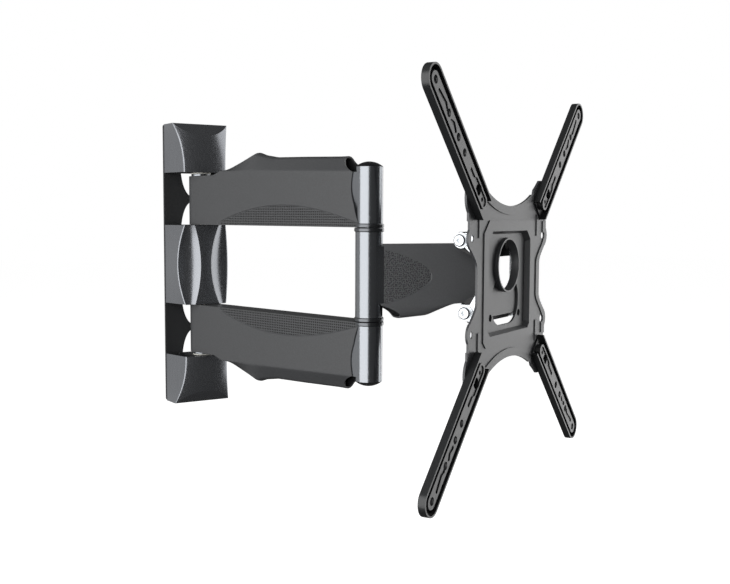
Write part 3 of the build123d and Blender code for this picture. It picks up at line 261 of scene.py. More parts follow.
def grained(name, constants, size, colours, gloss, relief=0.0, detail=2.0, stretch=(1, 1, 1)):
    """Material whose colour, gloss and relief follow one noise; size and relief are in millimetres.

    The noise moves between the two sRGB colours and between the lowest and highest roughness in gloss.
    stretch is the share of the pattern's density along each axis, so a small value draws it out.
    """
    material, tree, shader = finish(name, constants)
    spot = add(tree, "ShaderNodeTexCoord").outputs["Object"]
    mapping = add(tree, "ShaderNodeMapping", {"Vector": spot, "Scale": stretch})
    noise = add(tree, "ShaderNodeTexNoise", {
        "Vector": mapping.outputs[0], "Scale": 1 / (size * MM), "Detail": detail,
        "Roughness": NOISE_ROUGHNESS}).outputs["Fac"]
    tone = add(tree, "ShaderNodeMix", {
        "Factor": noise, "A": linear(colours[0]), "B": linear(colours[1])}, data_type="RGBA")
    tree.links.new(tone.outputs["Result"], shader.inputs["Base Color"])
    shine = add(tree, "ShaderNodeMapRange", {
        "Value": noise, "From Min": NOISE_SPREAD[0], "From Max": NOISE_SPREAD[1],
        "To Min": gloss[0], "To Max": gloss[1]})
    tree.links.new(shine.outputs[0], shader.inputs["Roughness"])
    if relief:
        bumps = add(tree, "ShaderNodeBump", {"Height": noise, "Distance": relief * MM, "Strength": 1.0})
        tree.links.new(bumps.outputs[0], shader.inputs["Normal"])
    return material


# %% [markdown]
# ### Powder-coated steel
#
# The wall plate, yoke, head plate and adapter arms are pressed from mild steel and powder coated: charged
# powder melts into a satin film with a faint orange-peel relief. The film is thinner and glossier on edges.

# %% Powder coat
def powder_coat(name, colours, roughness):
    """Satin powder film: orange peel of about 1.2 mm, 0.05 mm deep, that also shifts the gloss."""
    film = {"Roughness": roughness, "IOR": 1.5, "Specular IOR Level": 0.5}
    gloss = (roughness - 0.05, roughness + 0.06)
    return grained(name, film, 1.2, colours, gloss, relief=0.05, detail=3.0)


plate_coat = powder_coat("powder_coated_steel", ("262728", "2e2f30"), 0.42)
head_coat = powder_coat("powder_coated_head_plate", ("3a3b3d", "48494b"), 0.38)
adapter_coat = powder_coat("powder_coated_adapter", ("1c1d1e", "262728"), 0.34)
# The yoke's near-black, darker than the other steel, is partly painted shade for the gap it sits in between the
# front cover and the head plate.
yoke_coat_painted_shade = powder_coat("matt_black_coat_painted_shade", ("121213", "1a1a1b"), 0.62)
print("powder coats:", plate_coat.name, head_coat.name, adapter_coat.name, yoke_coat_painted_shade.name)

# %% [markdown]
# ### Metallic paint on the column
#
# The column is drawn tube under dark metallic paint: aluminium flake below a clear gloss coat. The flake
# layer is mostly metallic and a little rough, and the clear coat adds the sharp streak of the studio light.
# The collars and the end caps have the same build-up. So does the much lighter paint on the rounded edges
# of the moulded covers, which is a painted highlight: the bright line such an edge shows in the light.

# %% Metallic paint
def flake_paint(name, colours, roughness):
    """Metallic base under a clear coat; the 0.8 mm flakes are drawn coarser than real ones to show."""
    paint = {"Metallic": 0.95, "Roughness": roughness, "Coat Weight": 0.35, "Coat Roughness": 0.10}
    return grained(name, paint, 0.8, colours, (roughness - 0.03, roughness + 0.04))


tube_paint = flake_paint("metallic_painted_tube", ("7c7f83", "8a8d91"), 0.22)
collar_paint = flake_paint("metallic_painted_collar", ("55575a", "5d5f62"), 0.28)
cap_paint = flake_paint("metallic_painted_cap", ("3c3d40", "434548"), 0.26)
# Near-silver paint for the moulded covers' rounded edges: a painted highlight, not a colour the covers have.
edge_highlight_paint = flake_paint("painted_edge_highlight", ("a8aaad", "b6b8bb"), 0.28)
print("metallic paints:", tube_paint.name, collar_paint.name, cap_paint.name, edge_highlight_paint.name)

# %% [markdown]
# ### Moulded ABS
#
# The arm covers are injection-moulded ABS. The mould is spark-eroded, which leaves an even, fine grain and a
# satin look. Two panels carry a deeper pattern: rows of small dimples on the rear arms, and a pebbled
# leather-like grain on the front arm. The mask "panel" on the mesh says where. Each pit is also darkened
# with painted shade, darkest at its centre, standing in for the shade that falls into it.

# %% Arm cover plastic
ABS_GRAIN, ABS_RELIEF = 1.5, 0.07                  # millimetres
DIMPLE_PITCH = (3.1, 2.9)                          # along the arm and up it
PEBBLE_SIZE = 2.2
PIT_ROUGHNESS = 0.95


def moulded_abs(name, colours, shade, roughness, pattern):
    """Spark-eroded ABS: a 1.5 mm grain, drawn coarse to show, and pits where the mask is 1, darkened
    with painted shade.

    colours are the grain's two, and shade is painted shade mixed into the pits, darkest at each cell's
    centre, where each pit is deepest.
    """
    material, tree, shader = finish(name, {"IOR": 1.53, "Roughness": roughness, "Specular IOR Level": 0.5})
    places = add(tree, "ShaderNodeTexCoord")
    fine = add(tree, "ShaderNodeTexNoise", {
        "Vector": places.outputs["Object"], "Scale": 1 / (ABS_GRAIN * MM), "Detail": 3.0,
        "Roughness": NOISE_ROUGHNESS}).outputs["Fac"]
    skin = add(tree, "ShaderNodeMix", {
        "Factor": fine, "A": linear(colours[0]), "B": linear(colours[1])}, data_type="RGBA")
    under = add(tree, "ShaderNodeBump", {"Height": fine, "Distance": ABS_RELIEF * MM, "Strength": 1.0})
    mask = add(tree, "ShaderNodeAttribute", attribute_name="panel").outputs["Fac"]
    sheet = places.outputs["UV"]
    if pattern == "dimples":
        pitch = (1 / (DIMPLE_PITCH[0] * MM), 1 / (DIMPLE_PITCH[1] * MM), 1.0)
        cells = add(tree, "ShaderNodeMapping", {"Vector": sheet, "Scale": pitch})
        part = add(tree, "ShaderNodeVectorMath", {0: cells.outputs[0]}, operation="FRACTION")
        centre = add(tree, "ShaderNodeVectorMath", {
            0: part.outputs[0], 1: (0.5, 0.5, 0.0)}, operation="SUBTRACT")
        away = add(tree, "ShaderNodeVectorMath", {
            0: centre.outputs[0]}, operation="LENGTH").outputs["Value"]
        low, high, depth = 0.20, 0.38, 0.5
    else:
        cells = add(tree, "ShaderNodeTexVoronoi", {
            "Vector": sheet, "Scale": 1 / (PEBBLE_SIZE * MM), "Randomness": 0.6}, voronoi_dimensions="2D")
        away = cells.outputs["Distance"]
        low, high, depth = 0.10, 0.45, 0.35
    pits = add(tree, "ShaderNodeMapRange", {
        "Value": away, "From Min": low, "From Max": high}, interpolation_type="SMOOTHSTEP")
    pit = add(tree, "ShaderNodeMath", {0: 1.0, 1: pits.outputs[0]}, operation="SUBTRACT")
    held = add(tree, "ShaderNodeMath", {0: pit.outputs[0], 1: mask}, operation="MULTIPLY")
    height = add(tree, "ShaderNodeMath", {0: 1.0, 1: held.outputs[0]}, operation="SUBTRACT")
    relief = add(tree, "ShaderNodeBump", {
        "Height": height.outputs[0], "Distance": depth * MM, "Strength": 1.0, "Normal": under.outputs[0]})
    tree.links.new(relief.outputs[0], shader.inputs["Normal"])
    # Painted shade: the pits are mixed towards the dark shade colour, most at each cell's centre.
    tone = add(tree, "ShaderNodeMix", {
        "Factor": held.outputs[0], "A": skin.outputs["Result"], "B": linear(shade)}, data_type="RGBA")
    tree.links.new(tone.outputs["Result"], shader.inputs["Base Color"])
    gloss = add(tree, "ShaderNodeMapRange", {
        "Value": held.outputs[0], "To Min": roughness, "To Max": PIT_ROUGHNESS})
    tree.links.new(gloss.outputs[0], shader.inputs["Roughness"])
    return material


# The near-black colour after the grain's two is painted shade for the pits.
rear_abs = moulded_abs("spark_eroded_abs_dimpled", ("2f3031", "464749"), "050505", 0.45, "dimples")
# The front covers' plastic is lighter than the rear covers': painted light for a flank that the lamps leave dim.
front_abs_painted_light = moulded_abs("spark_eroded_abs_pebbled", ("5a5b5c", "6a6b6d"), "1e1e1f", 0.44, "pebbles")
print("arm cover plastics:", len(rear_abs.node_tree.nodes), "and", len(front_abs_painted_light.node_tree.nodes), "nodes")

# %% [markdown]
# The wall covers are the same plastic from a mould polished with long upright strokes, then sprayed with a
# thin metallic lacquer. That leaves faint vertical lines and a brighter sheen on the curved facets.

# %% Wall cover plastic
def lacquered_abs(name, colours, roughness):
    """Lacquered ABS with upright polishing lines about 0.7 mm wide and 60 mm long."""
    lacquer = {"Metallic": 0.85, "Roughness": roughness, "Coat Weight": 0.15, "Coat Roughness": 0.15}
    gloss = (roughness - 0.05, roughness + 0.05)
    return grained(name, lacquer, 0.7, colours, gloss, relief=0.04, stretch=(1, 1, 0.012))


wall_abs = lacquered_abs("lacquered_abs", ("74767a", "85878b"), 0.26)
print("wall cover plastic:", wall_abs.name)

# %% [markdown]
# ### Fasteners and bearings
#
# The tilt ears, bolts and nuts are steel with a bright zinc plating, which shows the grain of its crystals
# as a fine change in gloss. The bushes are sintered bronze and the washers are natural nylon.

# %% Plating, bronze and nylon
def plated(name, colours, roughness, metallic=1.0):
    """Plated or sintered metal with a 0.9 mm grain in its colour and gloss."""
    gloss = (roughness - 0.06, roughness + 0.08)
    metal = {"Metallic": metallic, "Roughness": roughness}
    return grained(name, metal, 0.9, colours, gloss, relief=0.02, detail=3.0)


zinc = plated("bright_zinc_plating", ("c4c7ca", "d6d9dc"), 0.26)
black_zinc = plated("black_zinc_plating", ("26272a", "303236"), 0.34, metallic=0.7)
bronze = plated("sintered_bronze", ("9a7a48", "b08d58"), 0.42)
nylon = grained("natural_nylon", {"Roughness": 0.45, "IOR": 1.5, "Specular IOR Level": 0.5}, 1.2,
                ("c9c8c0", "d4d3cc"), (0.40, 0.51), relief=0.05, detail=3.0)
print("platings and bearings:", zinc.name, black_zinc.name, bronze.name, nylon.name)

# %% [markdown]
# ## Metal pieces
#
# The CAD nodes are the true metal parts, so they stay. Real pressed and turned edges are never knife sharp,
# and a rounded edge is what catches the light, so each node gets a narrow bevel. A node's mesh arrives as
# loose triangles, which a Weld modifier joins first. The angle limit keeps round faces smooth.

# %% Finish and edge width for each CAD node
WELD = 0.004       # millimetres
FINISHES = {       # material and width of the rounded edge in millimetres, by the node's material slot
    "steel_powder_coat": (plate_coat, 0.5),
    "adapter_steel": (adapter_coat, 0.5),
    "column_steel": (tube_paint, 0.8),
    "cap_plastic": (cap_paint, 0.8),
    "collar_plastic": (collar_paint, 0.9),
    "zinc_steel": (zinc, 0.35),
    "black_zinc": (black_zinc, 0.3),
    "bronze": (bronze, 0.4),
    "nylon": (nylon, 0.3),
}
# The yoke's coat is black powder coat with painted shade in its darker colour.
OWN_COATS = {"head_plate": head_coat, "head_back_plate": head_coat, "swivel_yoke": yoke_coat_painted_shade}
slots = {entry["node"]: entry["material_slot"] for entry in frame["record"]["subparts"]}
for name, metal in frame["nodes"].items():
    if slots[name] not in FINISHES:
        continue
    material, edge = FINISHES[slots[name]]
    metal.data.materials.clear()
    metal.data.materials.append(OWN_COATS.get(name, material))
    if "custom_normal" in metal.data.attributes:
        metal.data.attributes.remove(metal.data.attributes["custom_normal"])
    metal.data.shade_smooth()
    weld = metal.modifiers.new("weld", "WELD")
    weld.merge_threshold = WELD * MM
    round_edges(metal, edge)
print("metal pieces finished:", sum(slots[n] in FINISHES for n in frame["nodes"]))

# %% [markdown]
# ## Rear arm covers
#
# Two half covers clip over each rear arm. Going round the section of a half: a lid under the beam, a flat
# flank, a crease, and then an arch that closes over the cable duct. The duct grows out of a fin and ends in
# a slanted mouth beside the column. The flank carries a shallow dimpled panel under a long curve, and its
# end follows an S-shaped seam where the cast neck of the arm shows.

# %% Lines that shape a rear cover, in millimetres
REAR_HALF = 15.4                                   # outer half thickness
BARREL_CLEAR = 12.9                                # radius of the opening round the pivot barrel
REAR_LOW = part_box("upper_rear_cover_near")[0].z / MM
ARC_CENTRE, ARC_HALF, ARC_LOW, ARC_RISE = 175.0, 118.0, 53.9, 20.8
PANEL_DEPTH, GROOVE_DEPTH = 0.45, 0.5
PANEL_BLEND = 3.0                                  # the panel fades out over this height at its ends
LIP = 1.5                                          # height of the groove along the panel's arc
STATION, LAST_STATION = 2.0, 290.0                 # spacing of the columns and the last one
WARP_FROM = 200.0                                  # the end seam bends only the stretch past here
CREASE_HIGH, CREASE_FALL, CREASE_FROM = 118.2, 0.029, 50.0
CREASE_BELOW_TOP = 1.4
SEAM_TOP, SEAM_HEIGHT, SEAM_END = 111.5, 60.0, 289.5
SEAM_BEND, SEAM_FOOT = 2.4, 12.0                   # inward bend of its upper part, outward run of its foot
MOUTH_TOP, MOUTH_RUN, MOUTH_BOW = 269.0, 20.5, 2.4
FACET_TURN = (0, 0.08, 0.72, 0.84, 0.93, 1.0)      # above the crease: a leaning facet, then a round top
FACET_ACROSS = (1.0, 0.97, 0.42, 0.25, 0.10, 0.0)
FACET_UP = (0.0, 0.08, 0.86, 0.96, 0.99, 1.0)


def rear_top(s):
    """Top line of the cover: level, up to the fin's tip, down its back, then a slow fall to the mouth."""
    return soft_line(s, [(-20, 114.4), (44, 114.4), (72, 123.2), (114, 139.0), (119, 139.0), (130, 135.6),
                         (152, 132.3), (200, 131.2), (275, 129.4)], 1.1)


def rear_crease(s):
    """Crease line: a straight fall along the arm, kept just under the top line."""
    return np.minimum(rear_top(s) - CREASE_BELOW_TOP, CREASE_HIGH - CREASE_FALL * (s - CREASE_FROM))


def rear_seam(z):
    """End of the flank: two gentle opposite bends, furthest out at the foot."""
    v = (SEAM_TOP - z) / SEAM_HEIGHT
    bend = SEAM_BEND * np.sin(math.pi * np.clip(v / 0.6, 0, 1))
    return SEAM_END - bend + SEAM_FOOT * np.clip(v, 0, 1) ** 3.5


# %% [markdown]
# A half is one grid: rows go round its section from the lid under the beam to the top of the duct, and
# columns run from the round end over the hinge to the column. Past WARP_FROM the columns are bent so that
# the last one follows the seam, and the slanted mouth above the crease.

# %% Build the four halves
def rear_cover(name, side, level):
    """Half cover: section round the arm by stations along it; side -1 is near, level 1 is the upper arm."""
    turn = np.linspace(0, math.pi / 2, 12)
    straight = np.arange(STATION, LAST_STATION + STATION / 2, STATION)
    stations = np.concatenate([-REAR_HALF * np.cos(turn), straight])[None, :]
    half = REAR_HALF * np.sqrt(np.clip(1 - (np.minimum(stations, 0) / REAR_HALF) ** 2, 0, 1))
    inner = np.sqrt(np.clip(BARREL_CLEAR ** 2 - stations ** 2, 0, None))
    inner = np.minimum(inner, half)
    top, crease = rear_top(stations), rear_crease(stations)
    arc = ARC_LOW + ARC_RISE * (1 - ((stations - ARC_CENTRE) / ARC_HALF) ** 2)
    inside = smooth_step((arc - REAR_LOW - 1) / PANEL_BLEND)
    arc = np.maximum(arc, REAR_LOW + 1)

    lid = np.linspace(0, 1, 6)[:-1, None]
    foot = np.linspace(0, 1, 14)[:, None]
    lip = LIP * np.array([1, 2, 3])[:, None] / 3
    flank = np.linspace(0, 1, 24)[1:, None]
    arch = np.linspace(0, 1, 23)[1:, None]

    y = np.concatenate([
        -(inner + (half - inner) * lid),
        -half + PANEL_DEPTH * inside + 0 * foot,
        -half + inside * np.array([PANEL_DEPTH + 0.2, GROOVE_DEPTH, 0.0])[:, None],
        -half + 0 * flank,
        -(half * np.interp(arch, FACET_TURN, FACET_ACROSS)),
    ])
    z = np.concatenate([
        REAR_LOW + 0 * lid * stations,
        REAR_LOW + (arc - REAR_LOW) * foot,
        arc + lip,
        arc + LIP + (crease - arc - LIP) * flank,
        crease + (top - crease) * np.interp(arch, FACET_TURN, FACET_UP),
    ])
    y = np.minimum(y, 0)
    rise = np.clip((z - crease) / np.maximum(top - crease, 1e-3), 0, 1)
    mouth = MOUTH_TOP + MOUTH_RUN * (1 - rise) ** MOUTH_BOW
    end = np.where(z > crease, mouth, rear_seam(z))
    last = stations[0, -1]
    warp = np.clip((stations - WARP_FROM) / (last - WARP_FROM), 0, None)
    s = np.where(stations > WARP_FROM, WARP_FROM + warp * (end - WARP_FROM), stations) + 0 * z
    panel = np.zeros_like(z)
    panel[len(lid):len(lid) + len(foot)] = inside
    uv = np.stack([s, z], -1) * MM
    points = place(np.stack([s, -side * y, level * z], -1), REAR)
    piece = grid_mesh(name + "_shell", points, REAR[1][1] * side, uv, panel)
    shell(piece, thickness=2.0, edge=0.5, angle=40)
    hand_over(piece, rear_abs, "rear_arm", name)
    return piece


for level, height in ((1, "upper"), (-1, "lower")):
    for side, where in ((-1, "near"), (1, "far")):
        cover = rear_cover(f"{height}_rear_cover_{where}", side, level)
print("rear covers:", len(cover.data.polygons), "faces in each half")

# %% [markdown]
# ## Front arm covers
#
# The short arm has the same kind of cover, turned over: the cable duct hangs below it. The flank starts in a
# bowed edge that laps the column, swells a little, and ends round the swivel. A pebbled panel runs out to a
# rounded point.

# %% Lines that shape a front cover, in millimetres
FRONT_HALF = 16.2
FRONT_TOP = 33.0
FRONT_CREASE = -33.0
FRONT_REACH = FRONT[2]
FRONT_SWELL, SWELL_AT = 2.4, 62.0                  # how far the flank bulges, and where along the arm
DUCT_MOUTH_RUN = 24.1                              # how far the duct's mouth leans away from the column
PANEL_TIP, PANEL_RUN = 67.6, 50.0                  # tip of the pebbled panel, and its length
PANEL_MIDDLE, PANEL_HALF = -2.0, 28.0              # its middle height and half height
PANEL_EDGE = 1.0                                   # the outline goes on this far past the half height


def front_bottom(s):
    """Lowest line: deep at the duct's mouth, nearly level, then up to the flat underside."""
    return soft_line(s, [(0, -50.0), (33, -48.6), (66, -46.4), (98, -34.2), (106, -33.9), (150, -33.9)], 2.4)


def front_start(z):
    """Edge that laps the column: bowed away from it in the middle, with rounded corners."""
    bow = [(-33, 9.0), (-28, 5.6), (-11, 8.7), (3, 9.2), (14, 8.5), (27, 5.3), (33, 10.0)]
    return soft_line(z, bow, 1.6)


def front_panel_edge(z):
    """Outline of the pebbled panel: a parabola with its tip near the middle of the flank."""
    reach = PANEL_HALF + PANEL_EDGE
    return PANEL_TIP - PANEL_RUN * (np.clip(z - PANEL_MIDDLE, -reach, reach) / PANEL_HALF) ** 2


# %% [markdown]
# Here the rows go down from the top lid over the flank and round the hanging duct, and the columns run from
# the column to the swivel. The first columns end at the panel's outline, so its groove follows grid lines.

# %% Build the two halves
def front_cover(name, side):
    """Half cover: columns along the arm by rows round the section, from the top lid down to the duct."""
    lid = np.linspace(0, 1, 6)[:-1]
    flank = np.linspace(FRONT_TOP, FRONT_CREASE, 56)
    arch = np.linspace(0, math.pi / 2, 20)[1:]
    z_row = np.concatenate([0 * lid + FRONT_TOP, flank, 0 * arch + FRONT_CREASE])[:, None]
    drop = np.concatenate([0 * lid, 0 * flank, np.sin(arch) ** 0.9])[:, None]
    across = np.concatenate([lid, 0 * flank + 1, np.cos(arch) ** 0.5])[:, None]
    start = front_start(z_row) + DUCT_MOUTH_RUN * (1 - (1 - drop) ** 2.2)
    edge = np.maximum(front_panel_edge(z_row), start + 2)
    run = np.concatenate([
        start + (edge - start) * np.linspace(0, 1, 22)[None, :],
        edge + np.array([[0.4, 0.8, 1.2]]),
        edge + 1.2 + (FRONT_REACH - edge - 1.2) * np.linspace(0, 1, 34)[None, 1:],
        FRONT_REACH + 0 * z_row + FRONT_HALF * np.sin(np.linspace(0, math.pi / 2, 12))[None, 1:],
    ], axis=1)
    past = np.maximum(run - FRONT_REACH, 0)
    swell = FRONT_HALF - FRONT_SWELL * ((np.minimum(run, FRONT_REACH) - SWELL_AT) / SWELL_AT) ** 2
    half = swell * np.sqrt(np.clip(1 - (past / FRONT_HALF) ** 2, 0, None))
    inner = np.sqrt(np.clip(BARREL_CLEAR ** 2 - (run - FRONT_REACH) ** 2, 0, None))
    inner = np.minimum(inner, half)
    groove = np.zeros_like(run)
    groove[:, 22:25] = np.array([0.35, 0.35, 0.0])
    on_flank = (across == 1) & (np.abs(z_row - PANEL_MIDDLE) < PANEL_HALF + PANEL_EDGE)
    y = -(inner + (half - inner) * across) + groove * on_flank
    z = z_row - (FRONT_CREASE - front_bottom(run)) * drop
    panel = np.zeros_like(run)
    panel[:, :22] = 1
    panel = panel * on_flank * smooth_step((run - start) / 2)
    uv = np.stack([run, z], -1) * MM
    points = place(np.stack([run, -side * y, z], -1), FRONT)
    piece = grid_mesh(name + "_shell", points, FRONT[1][1] * side, uv, panel)
    shell(piece, thickness=1.8, edge=0.6, angle=50)
    hand_over(piece, front_abs_painted_light, "front_arm", name)
    paint_edge_highlights(piece, 2)
    return piece


for side, where in ((-1, "near"), (1, "far")):
    cover = front_cover(f"front_cover_{where}", side)
print("front covers:", len(cover.data.polygons), "faces in each half")

# %% [markdown]
# ## Wall covers
#
# Three covers hide the wall plate and the hinge brackets. An end cover is wide and shallow at its far end
# and grows narrower and deeper towards the hinge, so its side edges sweep in a long curve. Its crowned face
# is cut by a sloping roof, and where the two meet they make a hanging curve. The middle cover is waisted:
# a narrow strip runs down its centre between two scooped, lens-shaped facets.

# %% Lines that shape an end cover, in millimetres
BASE_HALF, BASE_BACK = 38.5, 3.0
COVER_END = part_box("upper_wall_cover")[1].z / MM
COVER_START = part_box("upper_wall_cover")[0].z / MM
ROOF_DEPTH, ROOF_SLOPE = 30.0, 0.95
FAR_HALF, HINGE_HALF = 37.5, 28.5                  # half width of the face at its far end and at the hinge
FAR_EDGE, HINGE_EDGE = 30.0, 46.0                  # depth of the face's side edges
FAR_CROWN, HINGE_CROWN = 39.5, 50.5                # depth of its middle
SWEEP_POWER, CROWN_POWER = 2.2, 2.2


SIDE_FILLET = 2.2                                  # radius of the moulded corner between side and face


def end_sweep(z):
    """1 at the hinge and 0 at the far end, levelling out towards the hinge."""
    v = np.clip((COVER_END - z) / (COVER_END - COVER_START), 0, 1)
    return 1 - (1 - v) ** SWEEP_POWER


def end_face(q, z):
    """Depth of the crowned face at a share q of the half width: side edge plus a rounded crown."""
    edge = FAR_EDGE + (HINGE_EDGE - FAR_EDGE) * end_sweep(z)
    crown = FAR_CROWN + (HINGE_CROWN - FAR_CROWN) * end_sweep(z)
    return edge + (crown - edge) * (1 - np.abs(q) ** CROWN_POWER)


def end_roof(z):
    """Depth of the sloping roof at a height."""
    return ROOF_DEPTH + ROOF_SLOPE * (COVER_END - z)


def roof_line(q):
    """Height where the roof meets the face, found by halving an interval."""
    low, high = 0 * q + COVER_START, 0 * q + COVER_END
    for _ in range(30):
        middle = (low + high) / 2
        outside = end_roof(middle) > end_face(q, middle)
        low, high = np.where(outside, middle, low), np.where(outside, high, middle)
    return low


# %% [markdown]
# One grid again: rows go up the crowned face from the hinge, over the roof and back to the plate, and
# columns go across from side to side. The corner between side and face is rounded by its own columns,
# because that fillet is what catches the light.

# %% Build the end covers
def end_cover(name, level):
    """Rows from the hinge up the face, over the roof and back to the plate; columns from side to side."""
    q = np.concatenate([np.full(10, -1.0), np.linspace(-0.92, 0.92, 57), np.full(10, 1.0)])[None, :]
    out = np.concatenate([np.linspace(0, 1, 10)[:-1], np.ones(59), np.linspace(1, 0, 10)[1:]])[None, :]
    meet = roof_line(q)
    up = np.linspace(0, 1, 46)[:, None]
    over = np.linspace(0, 1, 14)[1:, None]
    back = np.linspace(0, 1, 7)[1:, None]
    z_face = COVER_START + (meet - COVER_START) * up
    z_roof = meet + (COVER_END - meet) * over
    z = np.concatenate([z_face, z_roof, COVER_END + 0 * back * q])
    depth = np.concatenate([
        end_face(q, z_face), end_roof(z_roof), ROOF_DEPTH + (BASE_BACK - ROOF_DEPTH) * back + 0 * q])
    half = FAR_HALF + (HINGE_HALF - FAR_HALF) * end_sweep(z)
    side_x = BASE_HALF + (half - BASE_HALF) * out
    x = np.where(out < 1, np.sign(q) * side_x, q * half)
    y = -(BASE_BACK + (depth - BASE_BACK) * out)
    points = np.stack([x, y, level * z], -1)
    left, right = np.flatnonzero(out[0] == 1)[[0, -1]]
    points = round_corner(round_corner(points, right, SIDE_FILLET), left, SIDE_FILLET)
    piece = grid_mesh(name + "_shell", place(points, WALL), (0, -1, 0))
    shell(piece, thickness=2.0, edge=1.1, angle=24)
    hand_over(piece, wall_abs, "wall_bracket", name)
    paint_edge_highlights(piece, 3)
    return piece


for name, level in (("upper_wall_cover", 1), ("lower_wall_cover", -1)):
    cover = end_cover(name, level)
print("end covers:", len(cover.data.polygons), "faces each")

# %% [markdown]
# The middle cover uses the same columns, but its section is in five runs: side, scooped facet, centre strip,
# scooped facet, side. Across a facet the depth grows with the cube of the distance from its outer edge.

# %% Build the middle cover
WAIST_STRIP, END_STRIP = 7.0, 16.5                 # half width of the centre strip, in millimetres
WAIST_HALF, END_HALF = 35.0, 28.5                  # half width of the front
WAIST_EDGE, END_EDGE = 37.0, 45.5                  # depth of its side edges
WAIST_CROWN, END_CROWN = 46.5, 50.0                # depth of the strip
STRIP_DISH = 0.6                                   # how far the strip is hollowed
MIDDLE_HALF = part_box("middle_wall_cover")[1].z / MM


def middle_cover(name):
    """Rows up the cover; columns across the five runs of its section."""
    z = np.linspace(-MIDDLE_HALF, MIDDLE_HALF, 81)[:, None]
    swell = (z / MIDDLE_HALF) ** 2
    half = WAIST_HALF + (END_HALF - WAIST_HALF) * swell
    edge_depth = WAIST_EDGE + (END_EDGE - WAIST_EDGE) * swell
    strip = WAIST_STRIP + (END_STRIP - WAIST_STRIP) * swell
    strip_depth = WAIST_CROWN + (END_CROWN - WAIST_CROWN) * swell
    side = np.linspace(0, 1, 9)[None, :-1]
    facet = np.concatenate([[0], np.linspace(0.2, 1, 19)])[None, :-1]
    across = np.linspace(-1, 1, 13)[None, :]
    left_x = np.concatenate([
        -(BASE_HALF + (half - BASE_HALF) * side), -(half + (strip - half) * facet)], axis=1)
    left_d = np.concatenate([
        BASE_BACK + (edge_depth - BASE_BACK) * side,
        edge_depth + (strip_depth - edge_depth) * facet ** 3], axis=1)
    x = np.concatenate([left_x, strip * across, -left_x[:, ::-1]], axis=1)
    dish = STRIP_DISH * (1 - across ** 2)
    depth = np.concatenate([left_d, strip_depth - dish, left_d[:, ::-1]], axis=1)
    points = np.stack([x, -depth, z + 0 * x], -1)
    corner = side.shape[1]
    points = round_corner(round_corner(points, x.shape[1] - 1 - corner, SIDE_FILLET), corner, SIDE_FILLET)
    piece = grid_mesh(name + "_shell", place(points, WALL), (0, -1, 0))
    shell(piece, thickness=2.0, edge=1.1, angle=20)
    hand_over(piece, wall_abs, "wall_bracket", name)
    paint_edge_highlights(piece, 3)
    return piece


cover = middle_cover("middle_wall_cover")
print("middle cover:", len(cover.data.polygons), "faces")

# %% [markdown]
# ## Camera
#
# The camera stands a little left of the mount and just above its middle, looking slightly down. A longer
# lens keeps the perspective calm, as product pictures do.

# %% Set the camera
AZIMUTH, ELEVATION, ROLL = -32.083, 4.504, 0.227
EYE = (-507.12, -1240.89, 66.38)                   # millimetres
FOCAL, SENSOR = 49.146, 36.0


def camera_axes(azimuth, elevation, roll):
    """Right, up and forward unit vectors from azimuth, elevation and roll in degrees."""
    a, e, r = (math.radians(v) for v in (azimuth, elevation, roll))
    forward = np.array([-math.sin(a) * math.cos(e), math.cos(a) * math.cos(e), -math.sin(e)])
    right = np.array([math.cos(a), math.sin(a), 0.0])
    up = np.cross(right, forward)
    return math.cos(r) * right + math.sin(r) * up, math.cos(r) * up - math.sin(r) * right, forward


right, up, forward = camera_axes(AZIMUTH, ELEVATION, ROLL)
lens = bpy.data.cameras.new("camera")
lens.lens = FOCAL
lens.sensor_width = SENSOR
camera = bpy.data.objects.new("camera", lens)
bpy.context.scene.collection.objects.link(camera)
turn = Matrix([[*row] for row in np.stack([right, up, -forward], 1)]).to_4x4()
camera.matrix_world = Matrix.Translation([v * MM for v in EYE]) @ turn
bpy.context.scene.camera = camera
print("camera", round(float(np.linalg.norm(EYE)) * MM, 2), "m from the wall plate")

# %% [markdown]
# ## Studio
#
# Dark glossy pieces are drawn by what they reflect. A tall soft light on the left makes the long streak down
# the column and lights the arm flanks, a narrow one behind the right edge lights the head plate, and the
# space in front of the mount stays dim. The floor is plain and pale.

# %% Lights, floor and background
LOOK_AT = np.array([0.12, -0.22, 0.0])             # metres, the middle of the mount
AMBIENT = 0.08                                     # what pieces reflect where no light stands
FLOOR = cad_box[0].z - 0.22
FLOOR_HALF = 9.0
to_camera = -np.array([forward[0], forward[1], 0.0]) / np.hypot(*forward[:2])
to_left = -np.array([right[0], right[1], 0.0])


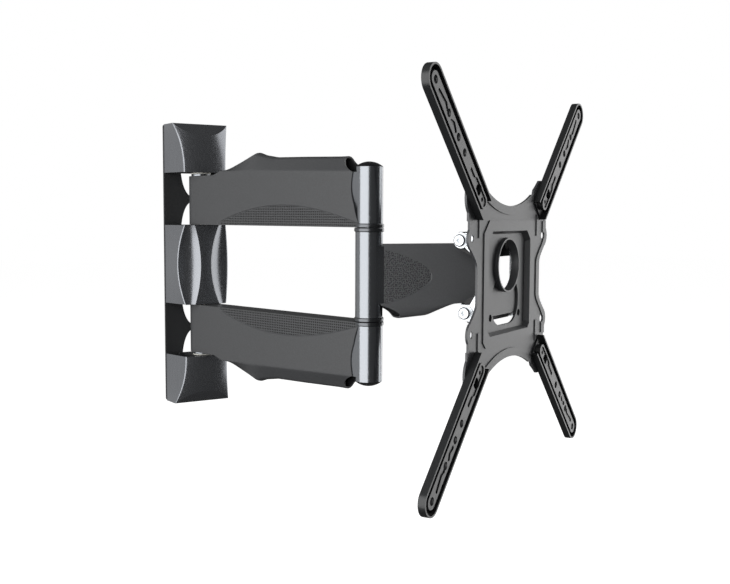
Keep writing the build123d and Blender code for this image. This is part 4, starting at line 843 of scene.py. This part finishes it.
def soft_light(name, bearing, height, distance, size, power):
    """Area light at a bearing left of the camera, in degrees, turned to the mount."""
    b = math.radians(bearing)
    spot = LOOK_AT + distance * (math.cos(b) * to_camera + math.sin(b) * to_left) + [0, 0, height]
    lamp = bpy.data.lights.new(name, "AREA")
    lamp.shape = "RECTANGLE"
    lamp.size, lamp.size_y = size
    lamp.energy = power
    holder = bpy.data.objects.new(name, lamp)
    holder.visible_camera = False
    bpy.context.scene.collection.objects.link(holder)
    away = spot - LOOK_AT
    away /= np.linalg.norm(away)
    across = np.cross([0, 0, 1.0], away)
    across /= np.linalg.norm(across)
    upward = np.cross(away, across)
    turn = Matrix([[*row] for row in np.stack([across, upward, away], 1)]).to_4x4()
    holder.matrix_world = Matrix.Translation(spot.tolist()) @ turn


LIGHTS = (         # name, bearing, height and distance in metres, size in metres, watts
    ("left_softbox", 42, 0.1, 1.7, (2.6, 2.6), 64),
    ("left_back_fill", 118, 0.1, 1.7, (2.4, 2.6), 10.5),
    ("right_rim", -122, 0.2, 1.7, (1.9, 2.4), 29),
    ("overhead", 20, 2.0, 0.6, (1.6, 1.6), 3),
)
for light in LIGHTS:
    soft_light(*light)

world = bpy.data.worlds.new("studio")
world.use_nodes = True
bpy.context.scene.world = world
sky = world.node_tree
sky.nodes.clear()
seen = add(sky, "ShaderNodeBackground", {"Color": (1, 1, 1, 1), "Strength": 1.0})
around = add(sky, "ShaderNodeBackground", {"Color": (1, 1, 1, 1), "Strength": AMBIENT})
path = add(sky, "ShaderNodeLightPath")
both = add(sky, "ShaderNodeMixShader", {
    0: path.outputs["Is Camera Ray"], 1: around.outputs[0], 2: seen.outputs[0]})
add(sky, "ShaderNodeOutputWorld", {"Surface": both.outputs[0]})

floor_mesh = bpy.data.meshes.new("floor")
corners = [(x * FLOOR_HALF, y * FLOOR_HALF, FLOOR) for x, y in ((-1, -1), (1, -1), (1, 1), (-1, 1))]
floor_mesh.from_pydata(corners, [], [(0, 1, 2, 3)])
floor = bpy.data.objects.new("floor", floor_mesh)
bpy.context.scene.collection.objects.link(floor)
pale = {"Base Color": (0.4, 0.4, 0.4, 1), "Roughness": 0.9, "Emission Color": (1, 1, 1, 1),
        "Emission Strength": 0.96}
floor_mesh.materials.append(finish("pale_floor", pale)[0])
floor.visible_diffuse = False
floor.visible_glossy = False
bpy.context.scene.view_settings.view_transform = "Standard"
print("studio:", len(LIGHTS), "lights; floor", round(FLOOR, 3), "m")
